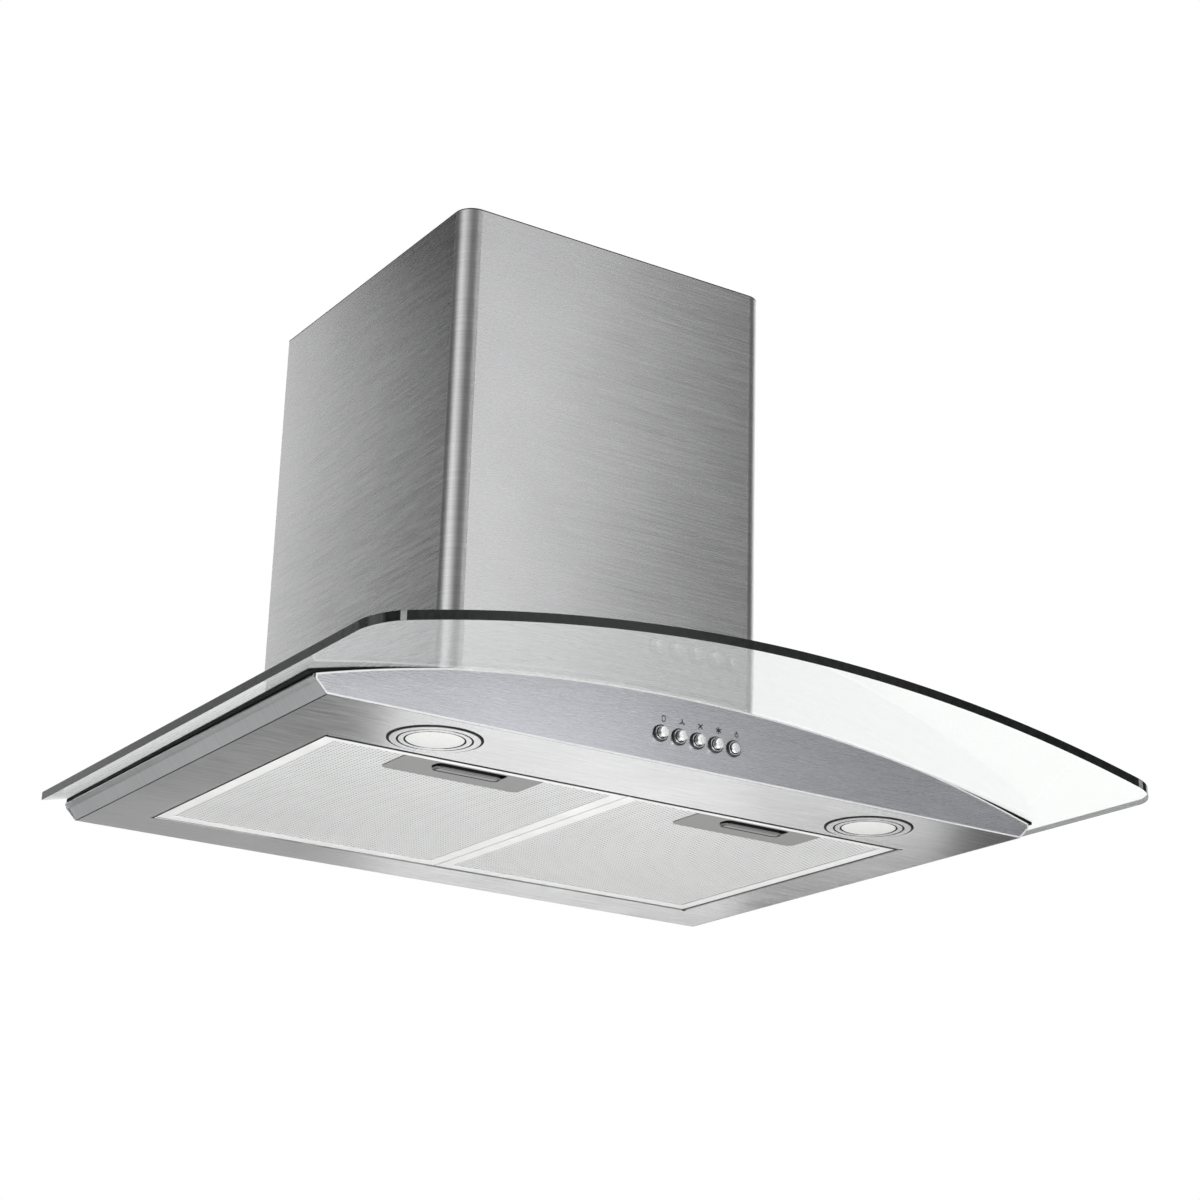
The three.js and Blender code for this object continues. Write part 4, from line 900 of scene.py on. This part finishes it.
right = {"side_wall": side_wall(), "filter_rails": rails(), "filter_shade_bead": gap_shade_bead(),
         "perforated_sheet": perforated_sheet(), "grip_plate": grip_plate(),
         "latch_pull": latch_pull()}
looks = {"side_wall": (STEEL_WALL, "stainless", "hood", "side_panel"),
         "filter_rails": (ROLLED, "aluminium", "filter", "filter_frame"),
         "filter_shade_bead": (RUBBER, "black_rubber", "filter", None),
         "perforated_sheet": (PERFORATED, "filter_mesh", "filter", None),
         "grip_plate": (GREY_ABS, "grey_plastic", "filter", "filter_plate"),
         "latch_pull": (None, "grey_plastic", "latch", "filter_latch")}
for piece, obj in right.items():
    material, slot, body, node = looks[piece]
    for sign, side in SIDES:
        one = obj if sign > 0 else copy_of(obj, f"{piece}_left", mirror=True)
        finished(one, material, body if body == "hood" else f"{body}_{side}",
                 [f"{node}_{side}"] if node else ())

for sign, side in SIDES:
    x = sign * LAMP_X
    finished(lamp_trim(x, side), STEEL_UNDER, replaces=[f"lamp_bezel_{side}"])
    finished(lamp_gasket_and_shade_rings(x, side), RUBBER)
    finished(diffuser(x, side), FROSTED, replaces=[f"lamp_lens_{side}"])

for index, use in enumerate(("stop", "low", "medium", "high", "lamp")):
    proud = LAMP_BUTTON_PROUD if use == "lamp" else BUTTON_PROUD
    finished(cap(f"push_button_{use}", index, proud), CHROME, f"button_{use}",
             [f"button_{use}"])
    finished(button_ring(index), None)
for mark in signs():
    finished(mark, PRINT)

# ---- CAD solids that stay as they are ----
lay_grain(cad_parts["upper_chimney_cover"], (0, 0, 1))
kept = {STEEL: ["upper_chimney_cover"],
        ZINC: ["top_deck", "blower_housing", "scroll_casing", "motor_mount"],
        MESH_BEHIND_SHADE: ["filter_mesh_left", "filter_mesh_right"],
        BLACK_ABS: ["switch_body", "lamp_driver", "impeller", "outlet_collar", "flap_front",
                    "flap_rear", "terminal_box", "cable_gland"],
        TRIM: ["lamp_unit_left", "lamp_unit_right"],
        RUBBER: ["throat_seal"] + [f"glass_sleeve_{i}" for i in range(1, 5)],
        BOLT_ZINC: ["flap_pin"] + [f"canopy_bolt_{i}" for i in range(1, 5)],
        MOTOR_METAL: ["motor"]}
for material, names in kept.items():
    for name in names:
        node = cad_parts[name]
        node.data.materials.clear()
        node.data.materials.append(material)

# ======================= studio =======================

def softbox(name, place, aim, size, watts):
    """An area lamp facing a point, unseen by the camera."""
    light = bpy.data.lights.new(name, "AREA")
    light.shape, light.size, light.size_y, light.energy = "RECTANGLE", *size, watts
    obj = bpy.data.objects.new(name, light)
    bpy.context.scene.collection.objects.link(obj)
    obj.location = place
    obj.rotation_euler = (Vector(aim) - Vector(place)).to_track_quat("-Z", "Y").to_euler()
    obj.visible_camera = False
    return obj


def seen_directly(tree):
    """1 where a surface or the room is seen straight on or through the glass, and 0 where
    it is only reflected."""
    path = add(tree, "ShaderNodeLightPath").outputs
    turns = add(tree, "ShaderNodeMath", operation="ADD",
                links={0: path["Glossy Depth"], 1: path["Diffuse Depth"]})
    straight = add(tree, "ShaderNodeMath", {1: 0.5}, {0: turns.outputs[0]},
                   operation="LESS_THAN")
    through = add(tree, "ShaderNodeMath", operation="MULTIPLY",
                  links={0: path["Is Transmission Ray"], 1: straight.outputs[0]})
    return add(tree, "ShaderNodeMath", operation="MAXIMUM",
               links={0: path["Is Camera Ray"], 1: through.outputs[0]}).outputs[0]


def white_room(dim_strength):
    """The room is white where it is seen directly and dim in reflections."""
    world = bpy.data.worlds.new("studio")
    bpy.context.scene.world = world
    world.use_nodes = True
    tree = world.node_tree
    tree.nodes.clear()
    dim, white = (add(tree, "ShaderNodeBackground",
                      {"Color": colour("ffffff"), "Strength": strength})
                  for strength in (dim_strength, 1.0))
    both = add(tree, "ShaderNodeMixShader", links={0: seen_directly(tree), 1: dim.outputs[0],
                                                   2: white.outputs[0]})
    add(tree, "ShaderNodeOutputWorld", links={"Surface": both.outputs[0]})


def pale_floor(height, glow_strength):
    """Matt painted floor. It glows where it is seen directly, so that it looks evenly lit,
    and adds none of that light to the hood."""
    bpy.ops.mesh.primitive_plane_add(size=14, location=(0, 0, height))
    floor = settle(bpy.context.object, "studio_floor")
    coat = moulded("pale_matt_floor", ("d6d6d4", "dcdcda"), (0.7, 0.8), 60)
    tree = coat.node_tree
    glow = add(tree, "ShaderNodeMath", {1: glow_strength}, {0: seen_directly(tree)},
               operation="MULTIPLY")
    shader = tree.nodes["Principled BSDF"]
    shader.inputs["Emission Color"].default_value = colour("ffffff")
    tree.links.new(glow.outputs[0], shader.inputs["Emission Strength"])
    floor.data.materials.append(coat)


FRONT, NEAR, BELOW = (0, -0.3, 0), (-0.1, -0.2, 0), (0, -0.2, -0.2)
# Each lamp's place and aim, its size across and up, all in metres, and its watts. The front
# ones make the bright left of the chimney, the low rear ones the shine of the underside.
SOFTBOXES = {
    "front_narrow": ((0.6, -2.95, 0.95), FRONT, (0.42, 2.0), 7.4),
    "front_middle": ((1.4, -2.95, 0.95), FRONT, (0.42, 2.0), 3.4),
    "front_wide": ((1.45, -2.95, 0.95), FRONT, (1.1, 2.0), 3.0),
    "front_low_right": ((2.35, -2.95, 0.25), FRONT, (0.8, 0.8), 1.2),
    "left_near": ((-2.6, -0.6, 0.7), NEAR, (1.2, 2.0), 16.7),
    "rear_left": ((-1.1, 3.2, 1.0), (0, -0.2, 0), (1.0, 2.2), 12.3),
    "low_rear_upper": ((1.3, 2.6, -0.83), BELOW, (1.5, 0.3), 1.35),
    "low_rear_lower": ((2.02, 2.6, -1.27), BELOW, (1.22, 0.3), 2.5),
    "low_rear_left": ((-1.6, 2.6, -1.15), BELOW, (0.9, 0.7), 2.1),
    "bounce_below": ((-0.25, -0.7, -1.5), (-0.1, -0.3, -0.2), (1.8, 1.8), 39),
    "front_below": ((0, -3.0, -0.8), FRONT, (3.2, 0.9), 9),
    "front_left": ((-2.7, -1.9, 0.8), (-0.1, -0.3, 0), (1.6, 2.0), 14)}
# These light the sides that the camera doesn't see, and don't show through the glass.
FILL_LAMPS = {"right_side": ((2.8, 0.9, 1.0), (2.6, 2.6)),
              "high_rear": ((1.0, 2.8, 2.2), (2.0, 1.6)),
              "overhead": ((0, -0.4, 3.0), (2.6, 2.6))}
FILL_WATTS = 40
for name, setting in SOFTBOXES.items():
    softbox(name, *setting)
for name, (place, size) in FILL_LAMPS.items():
    softbox(name, place, FRONT, size, FILL_WATTS).visible_transmission = False
white_room(dim_strength=0.07)
pale_floor(height=-1.55, glow_strength=0.32)

lens = bpy.data.cameras.new("camera")
lens.lens, lens.sensor_width, lens.shift_x = 75.377, 36, 0.075
camera = bpy.data.objects.new("camera", lens)
bpy.context.scene.collection.objects.link(camera)
camera.location = (-0.9088, -1.6845, -0.6359)
camera.rotation_euler = [math.radians(a) for a in (109.243, -2.255, -31.311)]
bpy.context.scene.camera = camera
bpy.context.scene.view_settings.view_transform = "Standard"
